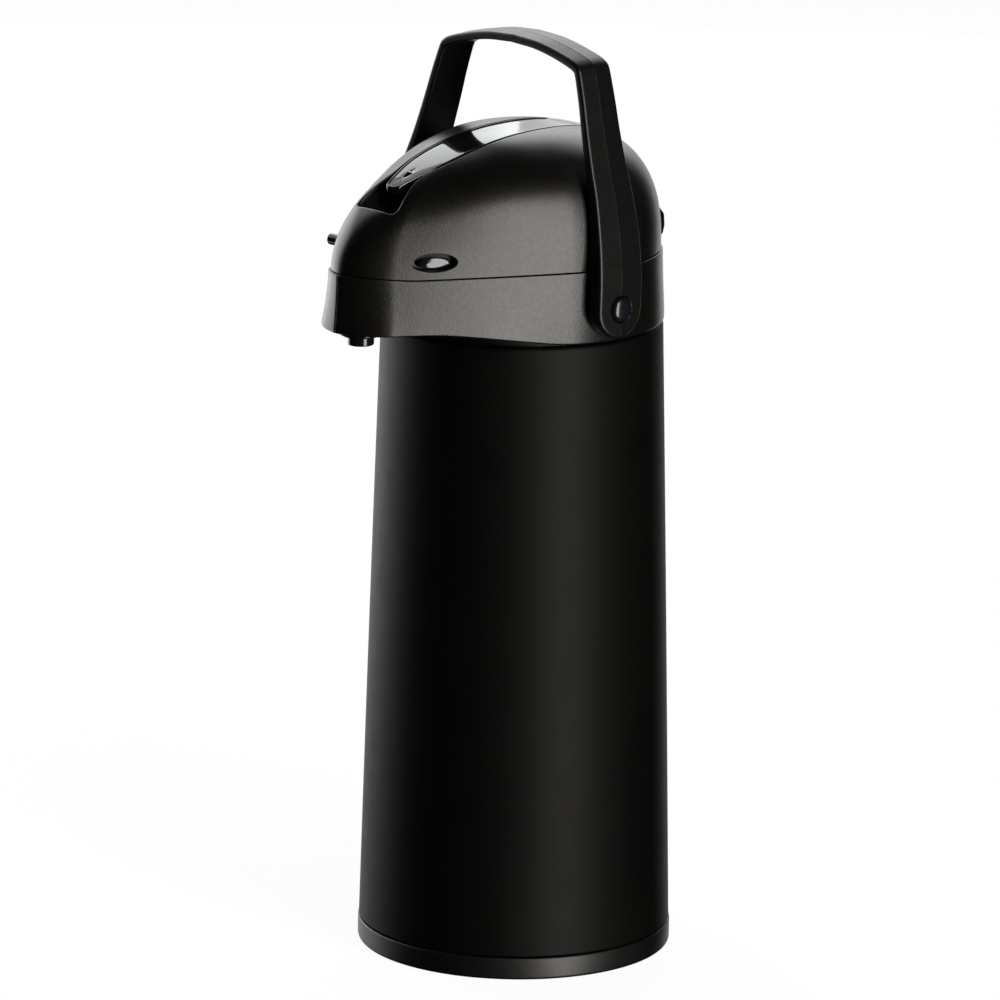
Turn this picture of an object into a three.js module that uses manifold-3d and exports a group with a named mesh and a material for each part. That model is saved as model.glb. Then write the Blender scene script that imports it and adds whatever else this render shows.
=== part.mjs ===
// Thermal coffee airpot: a three-litre vacuum flask with a lever pump in its domed head, a spout nose,
// a bail handle and a swivel base. Millimetres, +Z up. The origin is the centre of the base's underside,
// the spout points towards -Y and the handle's pivots lie on either side along X.
import * as THREE from "three";
import { mergeVertices } from "three/addons/utils/BufferGeometryUtils.js";
import Module from "manifold-3d";

const wasm = await Module();
wasm.setup();

// ---------------------------------------------------------------- driving dimensions
const GAP = 0.35; // clearance between pieces that touch

const BASE_R = 81;
const BASE_TOP = 11.4;
const BASE_WALL = 3.4;
const HUB_TOP = 20.6; // the hub passes up through the bottom cover
const FOOT_RING_IN = 58;
const FOOT_RING_OUT = 66;

const SHELL_BOTTOM = 12.2;
const SHELL_TOP = 328.8;
const SHELL_R_BOTTOM = 80.5;
const SHELL_R_TOP = 72.2;
const SHELL_WALL = 1.2;

const NECK_R = 66.3; // the dark recess between body and collar
const LINER_R = 68;
const LINER_INNER_R = 62.5;
const LINER_RIM = 341;
const LINER_NECK_R = 30;
const LINER_NECK_IN = 27;
const GLASS = 1.5;

const SEAM_Z = 366.5; // where the domed lid meets the collar
const COLLAR_BOTTOM = 329.6;
const NOSE_BOTTOM = 339;
const COLLAR_FLARE = 1.3; // how far the lower edge spreads at the back ...
const NOSE_FLARE = 1.7; // ... and how much more it spreads at the nose
const COLLAR_WALL = 2.6;
const DECK_Z = 354;
const DECK_T = 2.5;
const MOUTH_R = 31.5;
const MOUTH_WALL = 2.5;
const MOUTH_TOP = 364;

const HEAD_R = 71.3; // plan outline of the head: a round back ...
const NOSE_R = 24; // ... a round nose ...
const NOSE_TIP = 127.6; // ... this far in front of the axis ...
const FLANK_R = 900; // ... and a flat arc on each side that is tangent to both

const DOME_SETBACK = 1; // the lid stands back from the collar by this much
const DOME_TOP = 430;
const DOME_WALL = 2.6;
const DOME_POWER = { front: 2.0, side: 2.62, back: 2.87, frontFocus: 6.4 };

const LEVER_HINGE_Y = 44;
const LEVER_HINGE_Z = 417;
const LEVER_T = 4;
const LEVER_PLAY = 0.9; // lever to the edge of its channel
const LEVER_REAR_Y = 48.5;
const SCOOP_LIP_Y = -103.6;

const FLANK_OUT = new THREE.Vector3(0.883, -0.469, 0).normalize(); // square to the head's flank
const FLANK_ALONG = new THREE.Vector3(0.469, 0.883, 0).normalize();

const LOCK_Y = -89.4;
const LOCK_Z = 374.3;
const LOCK_R = 3.1;
const LOCK_HEAD = { x: 19, halfLong: 7, halfHigh: 2.9 }; // its oval head starts at x
const LOCK_FAR_X = -47.5;
const LOCK_NEAR_X = 30.6;
const LOCK_PLAY = 0.4;
const LOCK_POCKET = { x: 32.4, y: -91.7, z: 375.2, halfLong: 11.9, halfHigh: 4.6, depth: 6.5 };

const PIVOT_Y = -8.5;
const PIVOT_Z = 348;
const PIVOT_HOLE_R = 4.2;
const HANDLE_LEAN = 0.0625; // the bail leans back by this much for each unit of height

const NOZZLE_Y = -111.5;
const OUTLET_Z = 349.8;

const HINGE_Y = 75.5;
const HINGE_Z = 370.8;

const BELLOWS_BOTTOM = 371.4;
const PLATE_BOTTOM = 400.4;
const PLATE_T = 3;

// ---------------------------------------------------------------- geometry helpers
const X_AXIS = new THREE.Vector3(1, 0, 0);
const Y_AXIS = new THREE.Vector3(0, 1, 0);
const Z_AXIS = new THREE.Vector3(0, 0, 1);

// A closed geometry as a manifold-3d solid, with its faces turned outwards.
function solid(geometry) {
  const plain = new THREE.BufferGeometry();
  plain.setAttribute("position", geometry.getAttribute("position"));
  if (geometry.index) plain.setIndex(geometry.index);
  const merged = mergeVertices(plain, 1e-4);
  const vertProperties = new Float32Array(merged.attributes.position.array);
  const kept = [];
  const index = merged.index.array;
  for (let i = 0; i < index.length; i += 3) {
    const [a, b, c] = [index[i], index[i + 1], index[i + 2]];
    if (a !== b && b !== c && c !== a) kept.push(a, b, c);
  }
  const make = (tris) =>
    new wasm.Manifold(new wasm.Mesh({ numProp: 3, vertProperties, triVerts: new Uint32Array(tris) }));
  const made = make(kept);
  if (made.volume() > 0) return made;
  for (let i = 0; i < kept.length; i += 3) [kept[i], kept[i + 1]] = [kept[i + 1], kept[i]];
  return make(kept);
}

function geometryOf(shape) {
  const { vertProperties, triVerts } = shape.getMesh();
  const geometry = new THREE.BufferGeometry();
  geometry.setAttribute("position", new THREE.BufferAttribute(new Float32Array(vertProperties), 3));
  geometry.setIndex(new THREE.BufferAttribute(new Uint32Array(triVerts), 1));
  const flat = geometry.toNonIndexed();
  flat.computeVertexNormals();
  return flat;
}

const union = (first, ...others) => others.reduce((sum, next) => sum.add(next), first);
const cut = (first, ...others) => others.reduce((rest, next) => rest.subtract(next), first);

// A solid of revolution about Z from [radius, height] pairs.
function turned(profile, segments = 32) {
  const points = profile.map(([r, z]) => new THREE.Vector2(r, z));
  const onAxis = profile[0][0] === 0 && profile.at(-1)[0] === 0;
  if (!onAxis) points.push(points[0].clone());
  return solid(new THREE.LatheGeometry(points, segments).rotateX(Math.PI / 2));
}

function ring(rIn, rOut, z0, z1, segments = 32) {
  const profile = [
    [rIn, z0],
    [rOut, z0],
    [rOut, z1],
    [rIn, z1],
  ];
  return turned(profile, segments);
}

function disc(r, z0, z1, x = 0, y = 0, segments = 32) {
  const geometry = new THREE.CylinderGeometry(r, r, z1 - z0, segments).rotateX(Math.PI / 2);
  return solid(geometry.translate(x, y, (z0 + z1) / 2));
}

function rodAlongX(r, x0, x1, y, z, segments = 20) {
  const geometry = new THREE.CylinderGeometry(r, r, x1 - x0, segments).rotateZ(-Math.PI / 2);
  return solid(geometry.translate((x0 + x1) / 2, y, z));
}

function rodAlongY(r, y0, y1, x, z, segments = 20) {
  return solid(new THREE.CylinderGeometry(r, r, y1 - y0, segments).translate(x, (y0 + y1) / 2, z));
}

function block(x0, x1, y0, y1, z0, z1) {
  const geometry = new THREE.BoxGeometry(x1 - x0, y1 - y0, z1 - z0);
  return solid(geometry.translate((x0 + x1) / 2, (y0 + y1) / 2, (z0 + z1) / 2));
}

// A plan outline (Vector2 list) raised from z0 to z1.
function raised(outline, z0, z1) {
  const geometry = new THREE.ExtrudeGeometry(new THREE.Shape(outline), {
    depth: z1 - z0,
    bevelEnabled: false,
  });
  return solid(geometry.translate(0, 0, z0));
}

// A side-view outline ([y, z] pairs) extruded along X from x0 to x1.
function sideSlab(outline, x0, x1) {
  const shape = new THREE.Shape(outline.map(([y, z]) => new THREE.Vector2(y, z)));
  const geometry = new THREE.ExtrudeGeometry(shape, { depth: x1 - x0, bevelEnabled: false });
  const turn = new THREE.Matrix4().makeBasis(Y_AXIS, Z_AXIS, X_AXIS);
  return solid(geometry.applyMatrix4(turn).translate(x0, 0, 0));
}

// Rings of points, all with the same count, skinned in order and closed by a fan at each end.
function loft(rings, firstCentre, lastCentre) {
  const count = rings[0].length;
  const vertices = [...rings.flat(), firstCentre, lastCentre];
  const first = vertices.length - 2;
  const last = vertices.length - 1;
  const top = (rings.length - 1) * count;
  const triangles = [];
  for (let i = 0; i < count; i++) {
    const j = (i + 1) % count;
    for (let k = 0; k < rings.length - 1; k++) {
      const a = k * count + i;
      const b = k * count + j;
      triangles.push(a, b, b + count, a, b + count, a + count);
    }
    triangles.push(first, j, i, last, top + i, top + j);
  }
  const geometry = new THREE.BufferGeometry().setFromPoints(vertices);
  geometry.setIndex(triangles);
  return solid(geometry);
}

// ---------------------------------------------------------------- shapes that several pieces share

// Plan outline of the head at a given offset from its nominal line, anticlockwise from the back.
function headOutline(offset) {
  const noseY = NOSE_R - NOSE_TIP;
  const toBack = FLANK_R - HEAD_R;
  const toNose = FLANK_R - NOSE_R;
  const flankY = (toBack ** 2 - toNose ** 2 + noseY ** 2) / (2 * noseY);
  const flankX = Math.sqrt(toBack ** 2 - flankY ** 2);
  const backAngle = Math.atan2(-flankY, flankX);
  const noseAngle = Math.atan2(noseY - flankY, flankX);
  const side = [];
  const arc = (cx, cy, r, from, to, steps) => {
    for (let i = 0; i < steps; i++) {
      const t = from + ((to - from) * i) / steps;
      side.push(new THREE.Vector2(cx + r * Math.cos(t), cy + r * Math.sin(t)));
    }
  };
  arc(0, 0, HEAD_R + offset, Math.PI / 2, backAngle, 9);
  arc(-flankX, flankY, FLANK_R + offset, backAngle, noseAngle, 4);
  arc(0, noseY, NOSE_R + offset, noseAngle, -Math.PI / 2, 5);
  const tip = new THREE.Vector2(0, noseY - NOSE_R - offset);
  const otherSide = side.slice(1).map((p) => new THREE.Vector2(-p.x, p.y));
  return [...side, tip, ...otherSide.reverse()].reverse();
}

// The helmet: every upright section through the axis is a superellipse quadrant whose power
// changes from the front over the flanks to the back.
function helmet(inset, bottom, top, rows = 9) {
  const outline = headOutline(-DOME_SETBACK - inset);
  const rings = [];
  for (let k = 0; k < rows; k++) {
    const t = (Math.PI / 2) * (k / rows);
    const row = outline.map((p) => {
      const c = -p.y / p.length();
      const { front, side, back, frontFocus } = DOME_POWER;
      const power = c > 0 ? side + (front - side) * c ** frontFocus : side + (back - side) * c * c;
      const reach = Math.cos(t) ** (2 / power);
      const rise = Math.sin(t) ** (2 / power);
      return new THREE.Vector3(p.x * reach, p.y * reach, bottom + (top - bottom) * rise);
    });
    rings.push(row);
  }
  return loft(rings, new THREE.Vector3(0, -20, bottom), new THREE.Vector3(0, 0, top));
}

// Height of the lever's top face, and of the crown of the lid beside it, along the centre line.
const leverTop = new THREE.SplineCurve(
  [
    [-92.5, 409.8],
    [-80, 415.2],
    [-60, 422.3],
    [-40, 426.8],
    [-20, 429.2],
    [0, 430],
    [20, 428.6],
    [36, 425.9],
    [LEVER_REAR_Y, 422.6],
  ].map(([y, z]) => new THREE.Vector2(y, z)),
);

// Half of the lever's plan outline from the tip backwards; offset widens it.
function tongueOutline(offset, rear) {
  const half = new THREE.SplineCurve(
    [
      [2.2, -92.5],
      [4.8, -90],
      [7.8, -80],
      [10.4, -70],
      [11.8, -60],
      [12.4, -45],
      [13, -20],
      [13.2, 10],
    ].map(([x, y]) => new THREE.Vector2(x, y)),
  ).getPoints(9);
  const right = half.map((p) => new THREE.Vector2(p.x + offset, p.y));
  right[0].y -= offset;
  right.push(new THREE.Vector2(13.2 + offset, rear));
  const left = right.map((p) => new THREE.Vector2(-p.x, p.y)).reverse();
  return [...right, ...left];
}

// Plan outline of the finger scoop in front of the lever's tip.
function scoopOutline(offset) {
  const half = [
    [8.6, -80],
    [9.6, -85],
    [11, -90],
    [12.4, -95],
    [13, -98.5],
    [12, -101.5],
    [8.5, -103.2],
    [3, SCOOP_LIP_Y],
  ].map(([x, y]) => new THREE.Vector2(x + offset, y - (y < -101 ? offset : 0)));
  return [...half, ...half.map((p) => new THREE.Vector2(-p.x, p.y)).reverse()];
}

// ---------------------------------------------------------------- materials
const plastic = (color, roughness) =>
  new THREE.MeshStandardMaterial({ color, roughness, metalness: 0 });
const metal = (color, roughness) =>
  new THREE.MeshStandardMaterial({ color, roughness, metalness: 0.9 });

const MATT_BLACK = plastic(0x141414, 0.6);
const BODY_PAINT = new THREE.MeshStandardMaterial({ color: 0x0d0d0d, roughness: 0.45, metalness: 0.2 });
const GLOSS_BLACK = plastic(0x070708, 0.12);
const INNER_PLASTIC = plastic(0x2a2a2c, 0.5);
const NATURAL_PLASTIC = plastic(0xd9d6cc, 0.45);
const RUBBER = plastic(0x1b1b1b, 0.9);
const SILICONE = plastic(0xe4e0d6, 0.6);
const SILVERED_GLASS = metal(0xc9cdd2, 0.08);
const STEEL = metal(0xb8babd, 0.25);

// ---------------------------------------------------------------- swivel base
function swivelBase() {
  const floor = 3;
  const hub = 10;
  return turned(
    [
      [0, 0],
      [FOOT_RING_IN - GAP, 0],
      [FOOT_RING_IN - GAP, 1.6],
      [FOOT_RING_OUT + GAP, 1.6],
      [FOOT_RING_OUT + GAP, 0],
      [BASE_R - 1.4, 0],
      [BASE_R - 0.4, 0.5],
      [BASE_R, 1.6],
      [BASE_R, BASE_TOP - 1],
      [BASE_R - 0.7, BASE_TOP],
      [BASE_R - BASE_WALL, BASE_TOP],
      [BASE_R - BASE_WALL, floor + 2],
      [BASE_R - BASE_WALL - 2, floor],
      [hub, floor],
      [hub, HUB_TOP],
      [4, HUB_TOP],
      [4, 8],
      [0, 8],
    ],
    32,
  );
}

function swivelWasher() {
  return ring(5, 16, HUB_TOP + GAP, HUB_TOP + 1.8, 20);
}

function swivelScrew() {
  return turned(
    [
      [0, 9],
      [3.4, 9],
      [3.4, HUB_TOP + 2.2],
      [7.5, HUB_TOP + 2.2],
      [6.5, HUB_TOP + 4.4],
      [0, HUB_TOP + 4.8],
    ],
    12,
  );
}

// ---------------------------------------------------------------- body
function bodyShell() {
  const rolled = 3.6; // width of the hem at the foot
  return turned(
    [
      [SHELL_R_BOTTOM, SHELL_BOTTOM],
      [SHELL_R_BOTTOM, SHELL_BOTTOM + 2],
      [(SHELL_R_BOTTOM + SHELL_R_TOP) / 2 + 0.25, (SHELL_BOTTOM + SHELL_TOP) / 2],
      [SHELL_R_TOP, SHELL_TOP - 1.8],
      [SHELL_R_TOP - 0.5, SHELL_TOP - 0.5],
      [SHELL_R_TOP - 1.8, SHELL_TOP],
      [NECK_R + 0.5, SHELL_TOP],
      [NECK_R + 0.5, SHELL_TOP - SHELL_WALL],
      [SHELL_R_TOP - 2, SHELL_TOP - SHELL_WALL],
      [SHELL_R_TOP - SHELL_WALL, SHELL_TOP - 3],
      [SHELL_R_BOTTOM - SHELL_WALL, SHELL_BOTTOM + SHELL_WALL],
      [SHELL_R_BOTTOM - rolled, SHELL_BOTTOM + SHELL_WALL],
      [SHELL_R_BOTTOM - rolled, SHELL_BOTTOM],
    ],
    36,
  );
}

function bottomCover() {
  const z = SHELL_BOTTOM + SHELL_WALL + GAP;
  return turned(
    [
      [11, z + 4],
      [22, z + 4],
      [28, z],
      [SHELL_R_BOTTOM - SHELL_WALL - 0.8, z],
      [SHELL_R_BOTTOM - SHELL_WALL - 1, z + 8],
      [SHELL_R_BOTTOM - SHELL_WALL - 3, z + 8],
      [SHELL_R_BOTTOM - SHELL_WALL - 3, z + 2.4],
      [54, z + 2.4],
      [54, z + 9],
      [51.6, z + 9],
      [51.6, z + 2.4],
      [29, z + 2.4],
      [23, z + 6.4],
      [11, z + 6.4],
    ],
    24,
  );
}

function linerCushion() {
  return turned(
    [
      [28.5, 20.6],
      [48, 20.6],
      [60, 29],
      [67.5, 36],
      [71, 44],
      [71, 54],
      [69, 54],
      [68.8, 45],
      [64, 36.5],
      [47, 26.4],
      [28.5, 23.4],
    ],
    20,
  );
}

// The inner glass bottle of the vacuum liner. Its rolled lip covers the outer bottle's neck.
function linerInner() {
  return turned(
    [
      [0, 38.5],
      [40, 41],
      [56, 49],
      [LINER_INNER_R, 64],
      [LINER_INNER_R, 286],
      [57, 304],
      [44, 316],
      [LINER_NECK_IN, 325],
      [LINER_NECK_IN, LINER_RIM - 1],
      [LINER_NECK_IN + 1.5, LINER_RIM],
      [LINER_NECK_R, LINER_RIM - 1],
      [LINER_NECK_R, LINER_RIM - 1.6],
      [LINER_NECK_IN + 1.2, LINER_RIM - 1.6],
      [LINER_NECK_IN + 1.2, 326],
      [44.8, 317.6],
      [58.2, 304.8],
      [LINER_INNER_R + GLASS, 286.6],
      [LINER_INNER_R + GLASS, 63.6],
      [57, 47.8],
      [40.4, 39.4],
      [0, 37],
    ],
    24,
  );
}

// The outer glass bottle. The evacuated space stays open at the small tip under its floor.
function linerOuter() {
  return turned(
    [
      [LINER_NECK_R, LINER_RIM - 2],
      [LINER_NECK_R, 330.5],
      [46, 321.5],
      [61, 307],
      [LINER_R, 289],
      [LINER_R, 52],
      [62, 39.5],
      [46, 30],
      [3, 26.6],
      [3, 28.1],
      [60.5, 40.7],
      [LINER_R - GLASS, 52.6],
      [LINER_R - GLASS, 288],
      [60, 305.2],
      [45.2, 319.6],
      [LINER_NECK_R - 1.2, 328],
      [LINER_NECK_R - 1.2, LINER_RIM - 2],
    ],
    20,
  );
}

// The ring between body and collar. Its foot is trapped under the body's top hem.
function neckRing() {
  const wall = 2;
  return turned(
    [
      [LINER_NECK_R + 0.6, 335.5],
      [NECK_R - wall, 335.5],
      [NECK_R - wall, 318],
      [70, 318],
      [70, 321],
      [NECK_R, 321],
      [NECK_R, 342],
      [NECK_R - wall, 342],
      [NECK_R - wall, 338],
      [LINER_NECK_R + 0.6, 338],
    ],
    24,
  );
}

function mouthGasket() {
  return ring(LINER_NECK_R - 2.8, LINER_NECK_R + 3.2, LINER_RIM + 0.4, LINER_RIM + 2.5, 28);
}

// ---------------------------------------------------------------- collar with spout nose
// The lower edge is level round the back and rises in a soft step towards the nose.
function collarUnderCut() {
  const step = [
    [-20, COLLAR_BOTTOM],
    [-36, COLLAR_BOTTOM + 0.8],
    [-54, COLLAR_BOTTOM + 4],
    [-72, NOSE_BOTTOM - 2.6],
    [-88, NOSE_BOTTOM - 0.7],
    [-104, NOSE_BOTTOM],
    [-140, NOSE_BOTTOM],
    [-140, 300],
    [-20, 300],
  ];
  return sideSlab(step, -90, 90);
}

function handleBoss(side) {
  const [x0, x1] = [66.9, 72.6];
  return side > 0
    ? rodAlongX(9, x0, x1, PIVOT_Y, PIVOT_Z, 18)
    : rodAlongX(9, -x1, -x0, PIVOT_Y, PIVOT_Z, 18);
}

// One of the two ears that carry the lid's hinge pin.
function hingeEar(x0) {
  const reach = 4.6;
  const ear = [
    [66, 352],
    [HINGE_Y + 2, 352],
    [HINGE_Y + reach, 356],
    [HINGE_Y + reach, HINGE_Z],
    [HINGE_Y + 3.2, HINGE_Z + 3.2],
    [HINGE_Y, HINGE_Z + reach],
    [HINGE_Y - 3.2, HINGE_Z + 3.2],
    [HINGE_Y - reach, HINGE_Z],
    [HINGE_Y - reach, SEAM_Z],
    [66, SEAM_Z],
  ];
  return sideSlab(ear, x0, x0 + 3);
}

// The head's plan outline spread by a share of the collar's flare, which grows towards the nose.
function flaredOutline(share) {
  const plain = headOutline(0);
  return headOutline(1).map((p, i) => {
    const spread = COLLAR_FLARE + NOSE_FLARE * THREE.MathUtils.smoothstep(-plain[i].y, 14, 60);
    return plain[i].clone().lerp(p, share * spread);
  });
}

function collar() {
  const asPoints = (outline, z) => outline.map((p) => new THREE.Vector3(p.x, p.y, z));
  const outer = loft(
    [
      asPoints(flaredOutline(0.8), COLLAR_BOTTOM),
      asPoints(flaredOutline(1), COLLAR_BOTTOM + 3.4),
      asPoints(flaredOutline(0.52), 347),
      asPoints(flaredOutline(0.1), 360),
      asPoints(headOutline(0), SEAM_Z - 0.6),
      asPoints(headOutline(-0.6), SEAM_Z),
    ],
    new THREE.Vector3(0, -20, COLLAR_BOTTOM),
    new THREE.Vector3(0, -20, SEAM_Z),
  );
  const inside = headOutline(-COLLAR_WALL);
  const upperWell = raised(inside, DECK_Z + DECK_T, SEAM_Z + 1);
  const nosePocket = raised(inside, NOSE_BOTTOM + COLLAR_WALL, DECK_Z + DECK_T + 1)
    .subtract(block(-80, 80, -71.6, 80, 300, 400));
  const skirt = disc(68.6, 320, DECK_Z, 0, 0, 32);
  const shell = cut(outer, upperWell, nosePocket, skirt, collarUnderCut());
  const mouth = disc(MOUTH_R + MOUTH_WALL, LINER_RIM + 2.9, MOUTH_TOP, 0, 0, 28);
  const added = union(shell, mouth, handleBoss(1), handleBoss(-1), hingeEar(16.3), hingeEar(-19.3));
  return cut(
    added,
    disc(MOUTH_R, 335, MOUTH_TOP + 5, 0, 0, 28),
    rodAlongY(4.4, -80, -20, 0, OUTLET_Z),
    disc(7.1, 335, 346, 0, NOZZLE_Y, 24),
    rodAlongX(3.9, 60, 80, PIVOT_Y, PIVOT_Z),
    rodAlongX(3.9, -80, -60, PIVOT_Y, PIVOT_Z),
    rodAlongX(1.8, -30, 30, HINGE_Y, HINGE_Z, 12),
  );
}

function spoutNozzle() {
  return turned(
    [
      [4.4, 331],
      [6.3, 331],
      [6.75, 331.8],
      [6.75, 345],
      [4.4, 345],
    ],
    24,
  ).translate(0, NOZZLE_Y, 0);
}

function nozzleFlange() {
  return turned(
    [
      [7.1, 335.6],
      [9.4, 335.6],
      [9.8, 336.5],
      [11.2, 336.5],
      [11.4, NOSE_BOTTOM - GAP],
      [7.1, NOSE_BOTTOM - GAP],
    ],
    24,
  ).translate(0, NOZZLE_Y, 0);
}

function outletPipe() {
  const section = new THREE.Shape().absarc(0, 0, 3.9, 0, 2 * Math.PI);
  section.holes.push(new THREE.Path().absarc(0, 0, 2.6, 0, 2 * Math.PI));
  const route = new THREE.CatmullRomCurve3(
    [
      [-10, OUTLET_Z],
      [-40, OUTLET_Z],
      [-75, OUTLET_Z + 0.4],
      [-98, OUTLET_Z + 2.4],
      [-108, OUTLET_Z + 1.6],
      [NOZZLE_Y, 345.6],
    ].map(([y, z]) => new THREE.Vector3(0, y, z)),
  );
  const options = { steps: 12, curveSegments: 4, bevelEnabled: false, extrudePath: route };
  return solid(new THREE.ExtrudeGeometry(section, options));
}

// ---------------------------------------------------------------- stem
function stemHead() {
  const base = LINER_RIM + 2.95;
  const hub = union(disc(MOUTH_R - 0.9, base, base + 1.6, 0, 0, 28), disc(8.6, base, 357, 0, 0, 16));
  const holes = [45, 135, 225, 315].map((angle) => {
    const t = THREE.MathUtils.degToRad(angle);
    return disc(4.5, 335, 350, 19 * Math.cos(t), 19 * Math.sin(t), 10);
  });
  return cut(
    hub,
    disc(5.4, 335, 347, 0, 0, 16),
    disc(4.6, 346, 355, 0, 0, 16),
    rodAlongY(2.6, -20, 0, 0, OUTLET_Z, 12),
    ...holes,
  );
}

function dipTube() {
  return ring(2.9, 5, 46, 346.8, 16);
}

function checkBall() {
  return solid(new THREE.SphereGeometry(3.6, 10, 7).translate(0, 0, 349.4));
}

// ---------------------------------------------------------------- handle
// Half of the bail's outer line: x and z of the line, the strap's thickness, and half its width.
const BAIL = [
  [81.5, 348, 8.5, 14.7],
  [80.9, 362, 8.3, 14.7],
  [79.2, 375, 8.0, 14.4],
  [76.3, 389, 7.0, 14.0],
  [72.4, 403, 6.3, 13.3],
  [66.6, 419, 5.7, 12.5],
  [61.2, 436, 5.3, 11.9],
  [56.6, 452, 5.0, 11.4],
  [53.0, 463.0, 4.9, 11.1],
  [51.2, 466.8, 5.0, 11.0],
  [47.6, 469.4, 5.0, 11.0],
  [36.0, 472.9, 4.8, 10.9],
  [19.0, 476.3, 4.7, 10.9],
];

function handle() {
  const crown = [0, 477.6, 4.7, 10.9];
  const mirrored = BAIL.map(([x, ...rest]) => [-x, ...rest]).reverse();
  const stations = [...BAIL, crown, ...mirrored];
  const sections = stations.map(([x, z, thick, half], i) => {
    const before = stations[Math.max(i - 1, 0)];
    const after = stations[Math.min(i + 1, stations.length - 1)];
    const along = new THREE.Vector2(after[0] - before[0], after[1] - before[1]).normalize();
    const outwards = new THREE.Vector2(along.y, -along.x);
    if (i === 0 || i === stations.length - 1) outwards.set(Math.sign(x), 0);
    const middle = PIVOT_Y + (z - PIVOT_Z) * HANDLE_LEAN;
    const corner = (across, depth) =>
      new THREE.Vector3(x - outwards.x * depth, middle + across, z - outwards.y * depth);
    const bevel = 0.9;
    return [
      corner(-half, bevel),
      corner(-half + bevel, 0.3),
      corner(0, 0),
      corner(half - bevel, 0.3),
      corner(half, bevel),
      corner(half, thick - bevel),
      corner(half - bevel, thick),
      corner(-half + bevel, thick),
      corner(-half, thick - bevel),
    ];
  });
  const centre = (points) =>
    points.reduce((sum, p) => sum.add(p), new THREE.Vector3()).divideScalar(points.length);
  const strap = loft(sections, centre(sections[0]), centre(sections.at(-1)));
  const outer = BAIL[0][0];
  const inner = outer - BAIL[0][2];
  const eyeR = BAIL[0][3];
  const rightEye = rodAlongX(eyeR, inner, outer, PIVOT_Y, PIVOT_Z, 28);
  const leftEye = rodAlongX(eyeR, -outer, -inner, PIVOT_Y, PIVOT_Z, 28);
  return cut(
    union(strap, rightEye, leftEye),
    rodAlongX(PIVOT_HOLE_R, -90, 90, PIVOT_Y, PIVOT_Z, 16),
    rodAlongX(7, outer - 2.2, 90, PIVOT_Y, PIVOT_Z, 20),
    rodAlongX(7, -90, 2.2 - outer, PIVOT_Y, PIVOT_Z, 20),
  );
}

// A shoulder pin whose domed cap sits in the ring-shaped recess of the handle's eye.
function pivotPin(side) {
  const faceX = BAIL[0][0];
  const pin = turned(
    [
      [0, 67.4],
      [3.5, 67.4],
      [3.5, faceX - 1.9],
      [6.2, faceX - 1.9],
      [6.2, faceX + 0.4],
      [5.2, faceX + 1.5],
      [3, faceX + 2.3],
      [0, faceX + 2.6],
    ],
    16,
  );
  return pin.rotate(0, side * 90, 0).translate(0, PIVOT_Y, PIVOT_Z);
}

// ---------------------------------------------------------------- lid
// The channel of the lever and the finger scoop, as one tool that cuts the lid's crown.
function channelTool() {
  return union(
    raised(tongueOutline(LEVER_PLAY, LEVER_REAR_Y + 3.5), 405, 440),
    raised(scoopOutline(0), 390, 440),
  );
}

// The lid's crown follows the lever's top face: everything above that line, across the channel's
// neighbourhood, is taken off the helmet.
function crownTool() {
  const ease = leverTop.getPoints(12).map((p) => [p.x, p.y + 0.9]);
  const front = [
    [-128, 388],
    [-111, 397.3],
    [SCOOP_LIP_Y, 400.8],
    [-98, 406.6],
  ];
  return sideSlab([...front, ...ease, [60, 445], [-128, 445]], -90, 90);
}

function lidShell() {
  const bottom = SEAM_Z + 0.4;
  const outer = helmet(0, bottom, DOME_TOP);
  const inner = helmet(DOME_WALL, bottom - 1, DOME_TOP - DOME_WALL, 6);
  const nearBlock = block(LOCK_HEAD.x, 50, -104, -72, 370.9, 382);
  const farBlock = block(-50, -23, -100, -78, 370.9, 382);
  const posts = SCREW_SPOTS.map(([x, y]) => disc(3.6, SEAM_Z + 5, 424, x, y, 10));
  const inners = [nearBlock, farBlock, ...posts].map((b) => b.intersect(outer));
  const filled = union(cut(outer, inner), ...inners);
  const hollow = cut(
    filled,
    channelTool(),
    crownTool(),
    lockPocket(),
    rodAlongX(LOCK_R + LOCK_PLAY, -60, 0, LOCK_Y, LOCK_Z, 14),
    lockHead(LOCK_PLAY, 60),
    ...SCREW_SPOTS.map(([x, y]) => disc(1.7, SEAM_Z, SEAM_Z + 16, x, y, 8)),
  );
  return hollow;
}

// Four screws hold the inner lid to posts under the helmet.
const SCREW_SPOTS = [
  [46, 34],
  [-46, 34],
  [42, -44],
  [-42, -44],
];

// The oval recess that the near end of the lock rod sits in, square to the flank.
function lockPocket() {
  const { x, y, z, halfLong, halfHigh, depth } = LOCK_POCKET;
  const oval = new THREE.Shape().absellipse(0, 0, halfLong, halfHigh, 0, 2 * Math.PI);
  const options = { depth: 20, bevelEnabled: false, curveSegments: 8 };
  const turn = new THREE.Matrix4().makeBasis(FLANK_ALONG, Z_AXIS, FLANK_OUT);
  const start = new THREE.Vector3(x, y, z).addScaledVector(FLANK_OUT, -depth);
  return solid(new THREE.ExtrudeGeometry(oval, options).applyMatrix4(turn.setPosition(start)));
}

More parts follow.
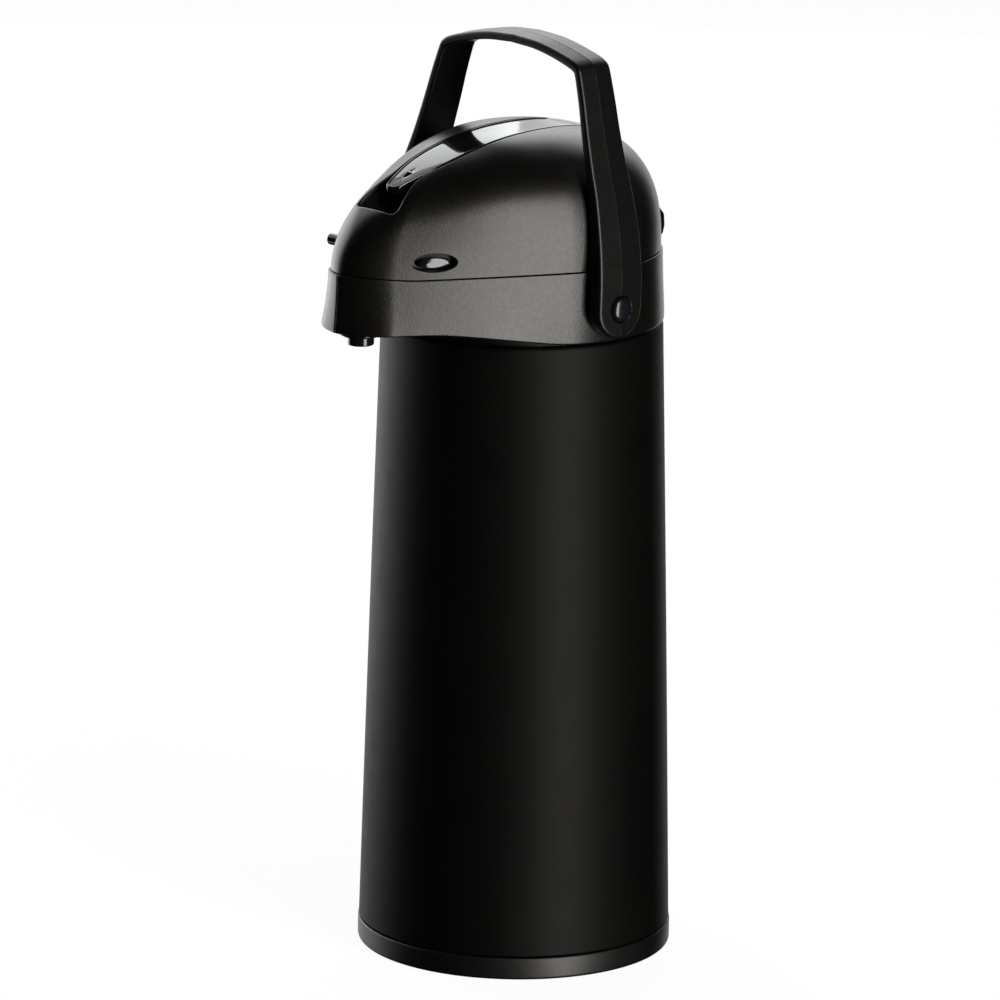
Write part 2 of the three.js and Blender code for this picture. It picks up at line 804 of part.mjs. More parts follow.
function leverWell() {
  const roof = helmet(DOME_WALL + GAP, SEAM_Z - 1, DOME_TOP - DOME_WALL - GAP, 6);
  const trough = raised(tongueOutline(LEVER_PLAY + 1.6, LEVER_REAR_Y + 4.5), 395, 440);
  const pocket = raised(scoopOutline(1.6), 384, 440);
  const crownLine = leverTop.getPoints(12);
  const lowered = (drop) => [
    [-130, 370],
    [-130, 387 - drop],
    [-93, 387 - drop],
    [-84, 400 - drop],
    ...crownLine.filter((p) => p.x > -80 && p.x < 29).map((p) => [p.x, p.y - LEVER_T - drop]),
    [29, 427 - LEVER_T - drop],
    [33, 411 - drop],
    [70, 411 - drop],
    [70, 370],
  ];
  const outside = union(trough, pocket).intersect(roof).subtract(sideSlab(lowered(3.2), -30, 30));
  const inside = union(
    raised(tongueOutline(LEVER_PLAY, LEVER_REAR_Y + 3.5), 390, 440),
    raised(scoopOutline(0), 384, 440),
  ).subtract(sideSlab(lowered(1.4), -30, 30));
  const crownGap = crownTool().translate(0, 0, -DOME_WALL - GAP);
  return cut(
    outside,
    inside,
    crownGap,
    disc(9.5, 380, 440, 0, -1, 20),
    rodAlongX(1.9, -30, 30, LEVER_HINGE_Y, LEVER_HINGE_Z, 12),
  );
}

function innerLid() {
  const plate = raised(headOutline(-COLLAR_WALL - 2.3), SEAM_Z + 1.6, SEAM_Z + 4.2);
  const holes = SCREW_SPOTS.map(([x, y]) => disc(2.1, SEAM_Z, SEAM_Z + 6, x, y, 8));
  return cut(plate, disc(3, SEAM_Z, SEAM_Z + 6, 0, 0, 16), ...holes);
}

function lidScrew([x, y]) {
  return turned(
    [
      [0, SEAM_Z + 0.1],
      [2.6, SEAM_Z + 0.1],
      [3.2, SEAM_Z + 1.2],
      [1.4, SEAM_Z + 1.25],
      [1.4, SEAM_Z + 14],
      [0, SEAM_Z + 15],
    ],
    10,
  ).translate(x, y, 0);
}

function lidGasket() {
  return ring(MOUTH_R - 2.5, MOUTH_R + MOUTH_WALL + 2.5, MOUTH_TOP + 0.4, SEAM_Z + 1.2, 28);
}

function airValve() {
  return disc(6.5, SEAM_Z - 0.2, SEAM_Z + 1.2, 0, 0, 16);
}

// The glossy block at the back of the lid, which turns on the hinge pin.
function hingeBlock() {
  const side = [
    [60, SEAM_Z + 1.4],
    [HINGE_Y - 2.1, SEAM_Z + 1.4],
    [HINGE_Y - 2.1, 361.5],
    [80, 361],
    [84.8, 363.5],
    [86, 368],
    [85.5, 374],
    [82, 378],
    [76, 380],
    [60, 381],
  ];
  return cut(
    sideSlab(side, -15.9, 15.9),
    helmet(-GAP - 0.2, SEAM_Z + 0.4, DOME_TOP + GAP),
    rodAlongX(1.8, -30, 30, HINGE_Y, HINGE_Z, 12),
  );
}

function hingePin() {
  return rodAlongX(1.4, -19, 19, HINGE_Y, HINGE_Z, 12);
}

// ---------------------------------------------------------------- pump
function lever() {
  const top = leverTop.getPoints(14);
  const under = top.map((p) => [p.x, p.y - LEVER_T]).reverse();
  const slab = sideSlab([...top.map((p) => [p.x, p.y]), ...under], -20, 20);
  const tongue = slab.intersect(raised(tongueOutline(0, LEVER_REAR_Y), 380, 450));
  const barrel = rodAlongX(4.2, -7.5, 7.5, LEVER_HINGE_Y, LEVER_HINGE_Z, 16);
  const web = block(-7.5, 7.5, LEVER_HINGE_Y - 3, LEVER_HINGE_Y + 3, LEVER_HINGE_Z, 421.5);
  const pusher = disc(6.5, PLATE_BOTTOM + PLATE_T + 0.6, 427, 0, 0, 20);
  const dish = sideSlab(
    [
      ...top.filter((p) => p.x < 38).map((p) => [p.x, p.y - 1.1]),
      [38, 445],
      [-100, 445],
      [-100, 403],
    ],
    -20,
    20,
  ).intersect(raised(tongueOutline(-1.5, 30), 380, 450));
  return cut(
    union(tongue, barrel, web, pusher),
    dish,
    rodAlongX(1.9, -20, 20, LEVER_HINGE_Y, LEVER_HINGE_Z, 12),
  );
}

function leverPin() {
  return rodAlongX(1.5, -13.8, 13.8, LEVER_HINGE_Y, LEVER_HINGE_Z, 12);
}

function pumpPlate() {
  return turned(
    [
      [0, PLATE_BOTTOM],
      [27, PLATE_BOTTOM],
      [27, PLATE_BOTTOM + 1.6],
      [11, PLATE_BOTTOM + PLATE_T],
      [0, PLATE_BOTTOM + PLATE_T],
    ],
    24,
  );
}

// Rubber bellows, open at both ends.
function bellows() {
  const folds = 4;
  const [rOut, rIn, wall] = [27, 21.5, 1.4];
  const top = PLATE_BOTTOM - GAP;
  const pitch = (top - BELLOWS_BOTTOM) / folds;
  const outside = [];
  for (let i = 0; i < folds; i++) {
    const z = BELLOWS_BOTTOM + i * pitch;
    outside.push([rIn, z], [rOut, z + pitch / 2]);
  }
  outside.push([rIn, top]);
  const inside = outside.map(([r, z]) => [r - wall, z]).reverse();
  return turned([...outside, ...inside], 16);
}

class Helix extends THREE.Curve {
  constructor(radius, turns, bottom, top) {
    super();
    Object.assign(this, { radius, turns, bottom, top });
  }

  getPoint(t, target = new THREE.Vector3()) {
    const angle = 2 * Math.PI * this.turns * t;
    const z = this.bottom + (this.top - this.bottom) * t;
    return target.set(this.radius * Math.cos(angle), this.radius * Math.sin(angle), z);
  }
}

function pumpSpring() {
  const wire = 1.1;
  const section = new THREE.Shape().absarc(0, 0, wire, 0, 2 * Math.PI);
  const path = new Helix(13, 5, BELLOWS_BOTTOM + wire, PLATE_BOTTOM - wire - GAP);
  const options = { steps: 50, curveSegments: 2, bevelEnabled: false, extrudePath: path };
  return solid(new THREE.ExtrudeGeometry(section, options));
}

// The lock's oval head, or with some play added the hole that it slides in, out to x1.
function lockHead(play, x1) {
  const { x, halfLong, halfHigh } = LOCK_HEAD;
  const oval = new THREE.Shape().absellipse(0, 0, halfLong + play, halfHigh + play, 0, 2 * Math.PI);
  const options = { depth: x1 - x, bevelEnabled: false, curveSegments: 8 };
  const turn = new THREE.Matrix4().makeBasis(Y_AXIS, Z_AXIS, X_AXIS);
  const geometry = new THREE.ExtrudeGeometry(oval, options).applyMatrix4(turn);
  return solid(geometry.translate(x, LOCK_Y, LOCK_Z));
}

// Push-through lock: a rod across the nose with an oval head, cut off square to the flank.
function lockRod() {
  const shank = rodAlongX(LOCK_R - 0.05, LOCK_FAR_X, LOCK_HEAD.x + 4, LOCK_Y, LOCK_Z, 14);
  const rod = union(shank, lockHead(0, 44));
  const turn = new THREE.Matrix4().makeBasis(FLANK_OUT, FLANK_ALONG, Z_AXIS);
  turn.setPosition(LOCK_NEAR_X, LOCK_Y, LOCK_Z);
  const beyond = new THREE.BoxGeometry(40, 60, 40).translate(20, 0, 0).applyMatrix4(turn);
  return cut(rod, solid(beyond));
}

// ---------------------------------------------------------------- assembly
const airpot = new THREE.Group();

function add(name, shape, material) {
  const mesh = new THREE.Mesh(geometryOf(shape), material);
  mesh.name = name;
  airpot.add(mesh);
}

add("swivel_base", swivelBase(), MATT_BLACK);
add("anti_slip_ring", ring(FOOT_RING_IN, FOOT_RING_OUT, 0, 1.25, 32), RUBBER);
add("swivel_washer", swivelWasher(), STEEL);
add("swivel_screw", swivelScrew(), STEEL);

add("body_shell", bodyShell(), BODY_PAINT);
add("bottom_cover", bottomCover(), INNER_PLASTIC);
add("liner_cushion", linerCushion(), RUBBER);
add("liner_outer_bottle", linerOuter(), SILVERED_GLASS);
add("liner_inner_bottle", linerInner(), SILVERED_GLASS);
add("neck_ring", neckRing(), INNER_PLASTIC);
add("mouth_gasket", mouthGasket(), SILICONE);

add("collar", collar(), MATT_BLACK);
add("spout_nozzle", spoutNozzle(), GLOSS_BLACK);
add("nozzle_flange", nozzleFlange(), GLOSS_BLACK);
add("outlet_pipe", outletPipe(), NATURAL_PLASTIC);

add("stem_head", stemHead(), NATURAL_PLASTIC);
add("dip_tube", dipTube(), NATURAL_PLASTIC);
add("check_ball", checkBall(), STEEL);

add("handle", handle(), MATT_BLACK);
add("pivot_pin_right", pivotPin(1), GLOSS_BLACK);
add("pivot_pin_left", pivotPin(-1), GLOSS_BLACK);

add("lid_shell", lidShell(), MATT_BLACK);
add("lever_well", leverWell(), MATT_BLACK);
add("inner_lid", innerLid(), INNER_PLASTIC);
SCREW_SPOTS.forEach((spot, i) => add(`lid_screw_${i + 1}`, lidScrew(spot), STEEL));
add("lid_gasket", lidGasket(), SILICONE);
add("air_valve", airValve(), SILICONE);
add("hinge_block", hingeBlock(), GLOSS_BLACK);
add("hinge_pin", hingePin(), STEEL);

add("lever", lever(), GLOSS_BLACK);
add("lever_pin", leverPin(), STEEL);
add("pump_plate", pumpPlate(), NATURAL_PLASTIC);
add("bellows", bellows(), RUBBER);
add("pump_spring", pumpSpring(), STEEL);
add("lock_rod", lockRod(), GLOSS_BLACK);

export default airpot;
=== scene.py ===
"""Looks of the thermal coffee airpot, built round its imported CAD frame.

Lengths are millimetres, except the camera's and the studio's, which are metres. Angles named AZIMUTH
run round the pot from its spout.
"""

import math

import bmesh
import bpy
import numpy as np
from mathutils import Matrix, Vector


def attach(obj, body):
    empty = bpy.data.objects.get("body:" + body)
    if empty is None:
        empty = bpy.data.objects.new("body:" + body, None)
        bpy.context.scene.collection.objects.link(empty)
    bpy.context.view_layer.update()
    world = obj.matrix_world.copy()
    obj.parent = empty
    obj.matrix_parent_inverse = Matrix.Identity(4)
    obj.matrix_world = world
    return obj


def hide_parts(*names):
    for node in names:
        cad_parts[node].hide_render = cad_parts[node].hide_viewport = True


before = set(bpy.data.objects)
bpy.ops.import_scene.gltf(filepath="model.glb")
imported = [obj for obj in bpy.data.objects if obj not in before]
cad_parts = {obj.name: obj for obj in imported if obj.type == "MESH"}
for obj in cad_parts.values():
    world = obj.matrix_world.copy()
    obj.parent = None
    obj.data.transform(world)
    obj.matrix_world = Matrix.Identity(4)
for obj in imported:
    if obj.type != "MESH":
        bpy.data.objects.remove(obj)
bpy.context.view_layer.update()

MM = 0.001
WELD = 2e-6  # metres: points closer than this become one

# ---------------- camera
AZIMUTH = math.radians(46.5)
ELEVATION = math.radians(13.97)
ROLL = math.radians(0.78)
DISTANCE = 4.0
LENS, SENSOR = 280.3, 36
AIM_SIDEWAYS, AIM_HEIGHT = -0.010, 0.2325


def make_camera():
    right = Vector((math.cos(AZIMUTH), math.sin(AZIMUTH), 0))
    target = right * AIM_SIDEWAYS + Vector((0, 0, AIM_HEIGHT))
    flat = math.cos(ELEVATION)
    back = Vector((math.sin(AZIMUTH) * flat, -math.cos(AZIMUTH) * flat, math.sin(ELEVATION)))
    data = bpy.data.cameras.new("camera")
    data.lens = LENS
    data.sensor_width = SENSOR
    data.clip_start, data.clip_end = 0.1, 50
    camera = bpy.data.objects.new("camera", data)
    bpy.context.scene.collection.objects.link(camera)
    look = (-back).to_track_quat("-Z", "Y").to_matrix().to_4x4()
    camera.matrix_world = (
        Matrix.Translation(target + back * DISTANCE) @ look @ Matrix.Rotation(ROLL, 4, "Z")
    )
    bpy.context.scene.camera = camera


# ---------------- materials
COLOUR_SPREAD = (0.35, 0.65)  # the noise values that get a material's two colours
ROUGH_SPREAD = (0.3, 0.7)  # the noise values that get its two roughnesses


class Nodes:
    """One material's node tree."""

    def __init__(self, name):
        self.material = bpy.data.materials.new(name)
        self.material.use_nodes = True
        self.tree = self.material.node_tree
        self.shader = self.tree.nodes["Principled BSDF"]
        self.place = self.tree.nodes.new("ShaderNodeTexCoord").outputs["Object"]

    def set(self, **values):
        for key, value in values.items():
            self.shader.inputs[key.replace("_", " ")].default_value = value

    def link(self, source, target):
        self.tree.links.new(source, target)

    def noise(self, scale, detail, roughness, stretch=None):
        """Noise of a scale per metre, drawn out along the axes by stretch."""
        node = self.tree.nodes.new("ShaderNodeTexNoise")
        node.inputs["Scale"].default_value = scale
        node.inputs["Detail"].default_value = detail
        node.inputs["Roughness"].default_value = roughness
        place = self.place
        if stretch:
            mapping = self.tree.nodes.new("ShaderNodeMapping")
            mapping.inputs["Scale"].default_value = stretch
            self.link(self.place, mapping.inputs["Vector"])
            place = mapping.outputs["Vector"]
        self.link(place, node.inputs["Vector"])
        return node.outputs["Fac"]

    def colours(self, source, low, high):
        node = self.tree.nodes.new("ShaderNodeValToRGB")
        for element, position, colour in zip(node.color_ramp.elements, COLOUR_SPREAD, (low, high)):
            element.position = position
            element.color = (*colour, 1)
        self.link(source, node.inputs["Fac"])
        self.link(node.outputs["Color"], self.shader.inputs["Base Color"])

    def rough(self, source, low, high):
        node = self.tree.nodes.new("ShaderNodeMapRange")
        ends = ("From Min", "From Max", "To Min", "To Max")
        for end, value in zip(ends, (*ROUGH_SPREAD, low, high)):
            node.inputs[end].default_value = value
        self.link(source, node.inputs["Value"])
        self.link(node.outputs["Result"], self.shader.inputs["Roughness"])

    def bump(self, *layers):
        """Each layer is (height source, depth in mm); the layers are stacked."""
        normal = None
        for source, depth in layers:
            node = self.tree.nodes.new("ShaderNodeBump")
            node.inputs["Strength"].default_value = 1.0
            node.inputs["Distance"].default_value = depth * MM
            self.link(source, node.inputs["Height"])
            if normal:
                self.link(normal, node.inputs["Normal"])
            normal = node.outputs["Normal"]
        self.link(normal, self.shader.inputs["Normal"])


def textured_black(name, grain, depth, rough, low, high):
    """Black moulded plastic with a spark-eroded grain: its scale per metre and its depth in mm."""
    m = Nodes(name)
    m.set(Specular_IOR_Level=0.5)
    m.colours(m.noise(55, 4, 0.6), low, high)
    m.rough(m.noise(420, 5, 0.65), rough - 0.03, rough + 0.03)
    m.bump((m.noise(grain, 2.5, 0.6), depth), (m.noise(grain * 0.3, 2, 0.5), depth * 0.5))
    return m.material


def satin_paint():
    m = Nodes("satin_black_paint")
    m.set(Specular_IOR_Level=0.11)
    m.colours(m.noise(18, 3, 0.5), (0.0014, 0.0014, 0.0013), (0.0019, 0.0019, 0.0017))
    m.rough(m.noise(90, 4, 0.6), 0.50, 0.54)
    m.bump((m.noise(1500, 2, 0.5), 0.006), (m.noise(260, 2, 0.5), 0.004))
    return m.material


def gloss_black(name, rough_low, rough_high):
    m = Nodes(name)
    m.set(Specular_IOR_Level=0.5, Coat_Weight=0.35, Coat_Roughness=0.04)
    m.colours(m.noise(30, 3, 0.5), (0.004, 0.004, 0.006), (0.007, 0.007, 0.010))
    m.rough(m.noise(420, 5, 0.7), rough_low, rough_high)
    m.bump((m.noise(70, 2, 0.4), 0.012), (m.noise(1400, 2, 0.5), 0.0006))
    return m.material


def plain_plastic(name, low, high):
    m = Nodes(name)
    m.colours(m.noise(40, 3, 0.5), low, high)
    m.rough(m.noise(150, 4, 0.6), 0.38, 0.5)
    m.bump((m.noise(900, 2, 0.5), 0.012))
    return m.material


def rubber(name, low, high):
    m = Nodes(name)
    m.colours(m.noise(60, 4, 0.6), low, high)
    m.rough(m.noise(300, 4, 0.6), 0.7, 0.88)
    m.bump((m.noise(1600, 3, 0.6), 0.03))
    return m.material


def steel():
    m = Nodes("drawn_steel")
    m.set(Metallic=1.0)
    m.colours(m.noise(120, 3, 0.5, (1, 1, 12)), (0.46, 0.46, 0.47), (0.6, 0.6, 0.61))
    m.rough(m.noise(300, 4, 0.7, (1, 1, 20)), 0.18, 0.32)
    m.bump((m.noise(900, 2, 0.5, (1, 1, 14)), 0.004))
    return m.material


def silvered_glass():
    m = Nodes("silvered_glass")
    m.set(Metallic=1.0, Coat_Weight=1.0, Coat_Roughness=0.03)
    m.colours(m.noise(14, 3, 0.5), (0.70, 0.71, 0.73), (0.82, 0.83, 0.85))
    m.rough(m.noise(60, 4, 0.6), 0.05, 0.14)
    m.bump((m.noise(25, 2, 0.4), 0.08))
    return m.material


def grey(level):
    return (level, level, level)


HEAD_BLACK = textured_black(
    "grained_black", 1100, 0.055, 0.31, (0.0030, 0.0029, 0.0026), (0.0046, 0.0044, 0.0040)
)
HANDLE_BLACK = textured_black("handle_black", 1900, 0.02, 0.36, grey(0.0026), grey(0.004))
BASE_BLACK = textured_black("base_black", 1700, 0.02, 0.42, grey(0.002), grey(0.003))
# Black plastic darker than the head's: painted shade for the recesses it lines, the lock's pocket cup and
# the neck band under the collar.
PAINTED_SHADE_BLACK = textured_black("painted_shade_black", 1400, 0.02, 0.5, grey(0.002), grey(0.003))
PAINT = satin_paint()
GLOSS = gloss_black("gloss_black", 0.05, 0.1)
WELL_BLACK = gloss_black("well_black", 0.2, 0.3)
CAP_BLACK = gloss_black("cap_black", 0.22, 0.32)
NOZZLE_GLOSS = gloss_black("nozzle_black", 0.12, 0.2)
INNER = plain_plastic("inner_plastic", (0.028, 0.028, 0.030), (0.036, 0.036, 0.038))
NATURAL = plain_plastic("natural_plastic", (0.60, 0.58, 0.52), (0.70, 0.68, 0.62))
RUBBER = rubber("black_rubber", grey(0.012), grey(0.02))
SILICONE = rubber("silicone", (0.66, 0.63, 0.57), (0.76, 0.73, 0.67))
STEEL = steel()
GLASS = silvered_glass()


# ---------------- mesh helpers
def new_object(name, verts, faces, weld):
    """A mesh object from millimetre points, with its faces turned outward."""
    mesh = bpy.data.meshes.new(name)
    mesh.from_pydata([tuple(float(c) * MM for c in v) for v in verts], [], faces)
    bm = bmesh.new()
    bm.from_mesh(mesh)
    if weld:
        bmesh.ops.remove_doubles(bm, verts=bm.verts, dist=WELD)
    bmesh.ops.recalc_face_normals(bm, faces=bm.faces)
    bm.to_mesh(mesh)
    bm.free()
    obj = bpy.data.objects.new(name, mesh)
    bpy.context.scene.collection.objects.link(obj)
    return obj


def piece(name, verts, faces, material, body, slot, stands_for=(), sharp=50):
    """A smooth piece riding on a CAD body; edges over sharp degrees stay hard."""
    obj = new_object(name, verts, faces, True)
    obj.data.materials.append(material)
    for polygon in obj.data.polygons:
        polygon.use_smooth = True
    obj.data.set_sharp_from_angle(angle=math.radians(sharp))
    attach(obj, body)
    if stands_for:
        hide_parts(*stands_for)
    return obj


def apply_modifiers(obj):
    """Bakes the modifier stack of obj into its mesh."""
    graph = bpy.context.evaluated_depsgraph_get()
    made = bpy.data.meshes.new_from_object(obj.evaluated_get(graph))
    old = obj.data
    obj.modifiers.clear()
    obj.data = made
    bpy.data.meshes.remove(old)


def carve(obj, verts, faces):
    """Cuts a closed shape, in millimetres, out of obj."""
    cutter = new_object("cutter", verts, faces, False)
    modifier = obj.modifiers.new("cut", "BOOLEAN")
    modifier.object = cutter
    modifier.operation = "DIFFERENCE"
    modifier.solver = "EXACT"
    bpy.context.view_layer.update()
    apply_modifiers(obj)
    bpy.data.objects.remove(cutter)


def rings_to_mesh(rings, close_rows=False, cap_start=False, cap_end=False):
    """Rings of equal count, each closed, skinned in order. Returns points and faces."""
    count = len(rings[0])
    verts = [p for ring in rings for p in ring]
    faces = []
    rows = len(rings)
    for k in range(rows if close_rows else rows - 1):
        a, b = k * count, ((k + 1) % rows) * count
        for i in range(count):
            j = (i + 1) % count
            faces.append((a + i, a + j, b + j, b + i))
    if cap_start:
        faces.append(tuple(reversed(range(count))))
    if cap_end:
        faces.append(tuple(range((rows - 1) * count, rows * count)))
    return verts, faces


STRAIGHT = math.radians(88)  # half the angle of a corner too flat to round
LONGEST = 0.48  # of a side: the most that rounding one of its corners uses up


def rounded(profile, radii, steps=5):
    """A polyline in the plane with each inner corner rounded by its radius."""
    points = [np.array(p, float) for p in profile]
    out = [points[0]]
    for before, here, after, radius in zip(points, points[1:], points[2:], radii):
        a, b = before - here, after - here
        la, lb = np.linalg.norm(a), np.linalg.norm(b)
        a, b = a / la, b / lb
        half = math.acos(max(-1, min(1, float(a @ b)))) / 2
        if radius <= 0 or half > STRAIGHT:
            out.append(here)
            continue
        reach = min(radius / math.tan(half), LONGEST * la, LONGEST * lb)
        radius = reach * math.tan(half)
        start, end = here + a * reach, here + b * reach
        middle = here + (a + b) / np.linalg.norm(a + b) * (radius / math.sin(half))
        for k in range(steps + 1):
            t = k / steps
            chord = start + (end - start) * t - middle
            out.append(middle + chord / np.linalg.norm(chord) * radius)
    out.append(points[-1])
    return out


def lathe(profile, segments):
    """Revolves a closed profile of (radius, height) pairs about Z."""
    angles = np.linspace(0, 2 * math.pi, segments, endpoint=False)
    rings = []
    for r, z in profile:
        rings.append([(r * math.sin(a), -r * math.cos(a), z) for a in angles])
    return rings_to_mesh(rings, close_rows=True)


def turned_about_x(verts, side, y, z):
    """Swings lathe points so that +Z becomes +X (side 1) or -X (side -1), then moves them."""
    return [(side * p[2], p[0] + y, side * p[1] + z) for p in verts]


def hermite(knots):
    """A smooth function through (x, value) knots."""
    xs = np.array([k[0] for k in knots], float)
    ys = np.array([k[1] for k in knots], float)
    slopes = np.gradient(ys, xs)

    def value(x):
        x = np.clip(np.asarray(x, float), xs[0], xs[-1])
        i = np.clip(np.searchsorted(xs, x) - 1, 0, len(xs) - 2)
        h = xs[i + 1] - xs[i]
        t = (x - xs[i]) / h
        t2, t3 = t * t, t * t * t
        return (
            (2 * t3 - 3 * t2 + 1) * ys[i]
            + (t3 - 2 * t2 + t) * h * slopes[i]
            + (-2 * t3 + 3 * t2) * ys[i + 1]
            + (t3 - t2) * h * slopes[i + 1]
        )

    return value


def distances(points):
    """How far along a polyline each of its points lies."""
    return np.concatenate([[0], np.cumsum(np.linalg.norm(np.diff(points, axis=0), axis=1))])


def even(points, count):
    """count points evenly spaced along a polyline, both ends kept."""
    points = np.asarray(points, float)
    run = distances(points)
    at = np.linspace(0, run[-1], count)
    return np.stack([np.interp(at, run, points[:, k]) for k in range(points.shape[1])], axis=1)


def through(points, count):
    """count even samples of a smooth curve through the points."""
    points = np.asarray(points, float)
    samples_each = 40
    run = distances(points)
    dense = np.linspace(0, run[-1], samples_each * len(points))
    curves = [hermite(list(zip(run, points[:, k])))(dense) for k in range(points.shape[1])]
    return even(np.stack(curves, axis=1), count)


def mirrored(half):
    """A closed outline from its left half, which runs from the back centre to the front centre."""
    right = half[1:-1][::-1] * np.array([-1, 1])
    return np.concatenate([half, right])


def quarter(steps):
    """The sine and cosine of each step of a quarter turn, both ends included."""
    angles = [math.pi / 2 * k / steps for k in range(steps + 1)]
    return [(math.sin(a), math.cos(a)) for a in angles]


def smoothstep(x, low, high):
    t = np.clip((np.asarray(x, float) - low) / (high - low), 0, 1)
    return t * t * (3 - 2 * t)


# ---------------- head: outline and dome surface
# The plan outline: a round back, two nearly straight flanks and a nose with a keel in the middle.
HEAD_R, FLANK_R, NOSE_TIP = 71.3, 900.0, 128.0
NOSE_R, NOSE_SHIFT = 38.0, 9.5  # each side of the nose is an arc centred this far past the middle
KEEL_SLOPE = 0.257  # of the two arcs where they meet at the keel
KEEL_START, KEEL_FULL = 90, 112  # forward of the axis, where the keel's rounding sets in
COLLAR_KEEL, LID_KEEL = 0.8, 6.0  # half widths over which the keel is rounded off
LID_SETBACK = 1.0
SEAM_Z = 366.5
DOME_BOTTOM, DOME_TOP = SEAM_Z + 0.4, 430.0


def head_half(offset, count, soft=COLLAR_KEEL):
    """The left half of the head's plan outline at an offset, from the back to the nose's keel."""
    nose = np.array([-NOSE_SHIFT, math.sqrt(NOSE_R**2 - NOSE_SHIFT**2) - NOSE_TIP])
    to_back, to_nose, apart = FLANK_R - HEAD_R, FLANK_R - NOSE_R, math.hypot(*nose)
    run = (to_back**2 - to_nose**2 + apart**2) / (2 * apart)
    towards = nose / apart
    sideways = np.array([towards[1], -towards[0]])
    flank = towards * run + sideways * math.sqrt(to_back**2 - run**2)
    back_angle = math.atan2(-flank[1], -flank[0])
    nose_angle = math.atan2(nose[1] - flank[1], nose[0] - flank[0])
    keel_angle = -math.acos(NOSE_SHIFT / (NOSE_R + offset))
    path = []
    for (cx, cy), r, start, end in (
        ((0, 0), HEAD_R, math.pi / 2, back_angle),
        (flank, FLANK_R, back_angle, nose_angle),
        (nose, NOSE_R, nose_angle, keel_angle),
    ):
        t = np.linspace(start, end, 400)
        path.append(np.stack([cx + (r + offset) * np.cos(t), cy + (r + offset) * np.sin(t)], axis=1))
    line = even(np.concatenate(path), 1600)
    front = smoothstep(-line[:, 1], KEEL_START, KEEL_FULL)
    line[:, 1] += front * KEEL_SLOPE * (np.hypot(line[:, 0], soft) - np.abs(line[:, 0]))
    line[-1, 0] = 0
    return even(line, count) * np.array([-1, 1])


def lid_half(count):
    """The lid's rim: set back from the collar, with a rounder nose."""
    return head_half(-LID_SETBACK, count, LID_KEEL)


rim_half = lid_half(1200)
RIM_ANGLE = np.arctan2(-rim_half[:, 0], rim_half[:, 1])
RIM_REACH = np.linalg.norm(rim_half, axis=1)

# Height of the lid's crown along the centre line, which the lever's top face continues.
crown = hermite(
    [
        (-132, 384.5), (-118, 392.8), (-111, 396.6), (-107, 398.4), (-103.5, 400.2), (-100, 403.2),
        (-95, 408.0), (-90, 411.2), (-80, 415.4), (-70, 419.2), (-60, 422.3), (-50, 424.9),
        (-40, 426.9), (-30, 428.4), (-20, 429.3), (-10, 429.8), (0, 430.0), (10, 429.7), (20, 428.9),
        (30, 427.6), (40, 426.0), (60, 422.5), (80, 418.0),
    ]
)


# A section from the axis to the rim is a superellipse: its power at the sides, nose and back.
SIDE_POWER, NOSE_POWER, BACK_POWER = 2.62, 2.0, 2.87
NOSE_FOCUS = 10  # the higher, the narrower the part of the nose that has the nose's power
CROWN_LIFT, CROWN_SOFT = 0.35, 1.1  # how the crown line cuts the helmet, and how softly


def dome_height(x, y):
    """Height of the lid's outer surface over the plan point x, y."""
    x, y = np.asarray(x, float), np.asarray(y, float)
    r = np.maximum(np.hypot(x, y), 1e-9)
    reach = np.interp(np.arctan2(np.abs(x), y), RIM_ANGLE, RIM_REACH)
    c = -y / r
    nose = SIDE_POWER - (SIDE_POWER - NOSE_POWER) * np.clip(c, 0, 1) ** NOSE_FOCUS
    power = np.where(c > 0, nose, SIDE_POWER + (BACK_POWER - SIDE_POWER) * c * c)
    share = np.clip(r / reach, 0, 1)
    rise = np.clip(1 - share**power, 0, 1) ** (1 / power)
    helmet = DOME_BOTTOM + (DOME_TOP - DOME_BOTTOM) * rise
    line = crown(y) + CROWN_LIFT
    low, gap = np.minimum(helmet, line), np.abs(helmet - line)
    return low - CROWN_SOFT * np.log1p(np.exp(-gap / CROWN_SOFT))


# The lever's channel and the finger scoop in front of it: one opening in the lid.
OPENING = [
    (0, 52), (-8, 52), (-12.2, 51.4), (-13.8, 49.6), (-14.1, 46), (-14.1, 10), (-13.9, -20),
    (-13.3, -45), (-12.7, -60), (-11.3, -70), (-10.1, -76), (-9.4, -80), (-9.5, -83.5),
    (-10.2, -87), (-11.4, -91), (-12.5, -95), (-13.1, -98), (-13.0, -100.2), (-12.0, -101.8),
    (-10.2, -102.7), (-7.5, -103.2), (-4, -103.5), (0, -103.6),
]
COLUMNS = 440
# Points of the opening's edge, and the points of the rim that the lid's mesh runs out to from them.
COLUMN_PAIRS = [
    ((-14, 48.5), (-47, 52)), ((-14.1, 20), (-66, 22)), ((-13.9, -10), (-70, -12)),
    ((-13, -50), (-54, -55)), ((-9.4, -80), (-40, -86)), ((-13.1, -98), (-24, -108)),
    ((-10.2, -102.7), (-12, -123)),
]
BLEND = 25  # columns over which the spacing of the columns is averaged


def opening_outline():
    return mirrored(through(OPENING, COLUMNS // 2 + 1))


def outward(outline):
    """Unit plan normals of a closed outline that point away from its inside."""
    along = np.roll(outline, -1, axis=0) - np.roll(outline, 1, axis=0)
    normal = np.stack([along[:, 1], -along[:, 0]], axis=1)
    return normal / np.linalg.norm(normal, axis=1)[:, None]


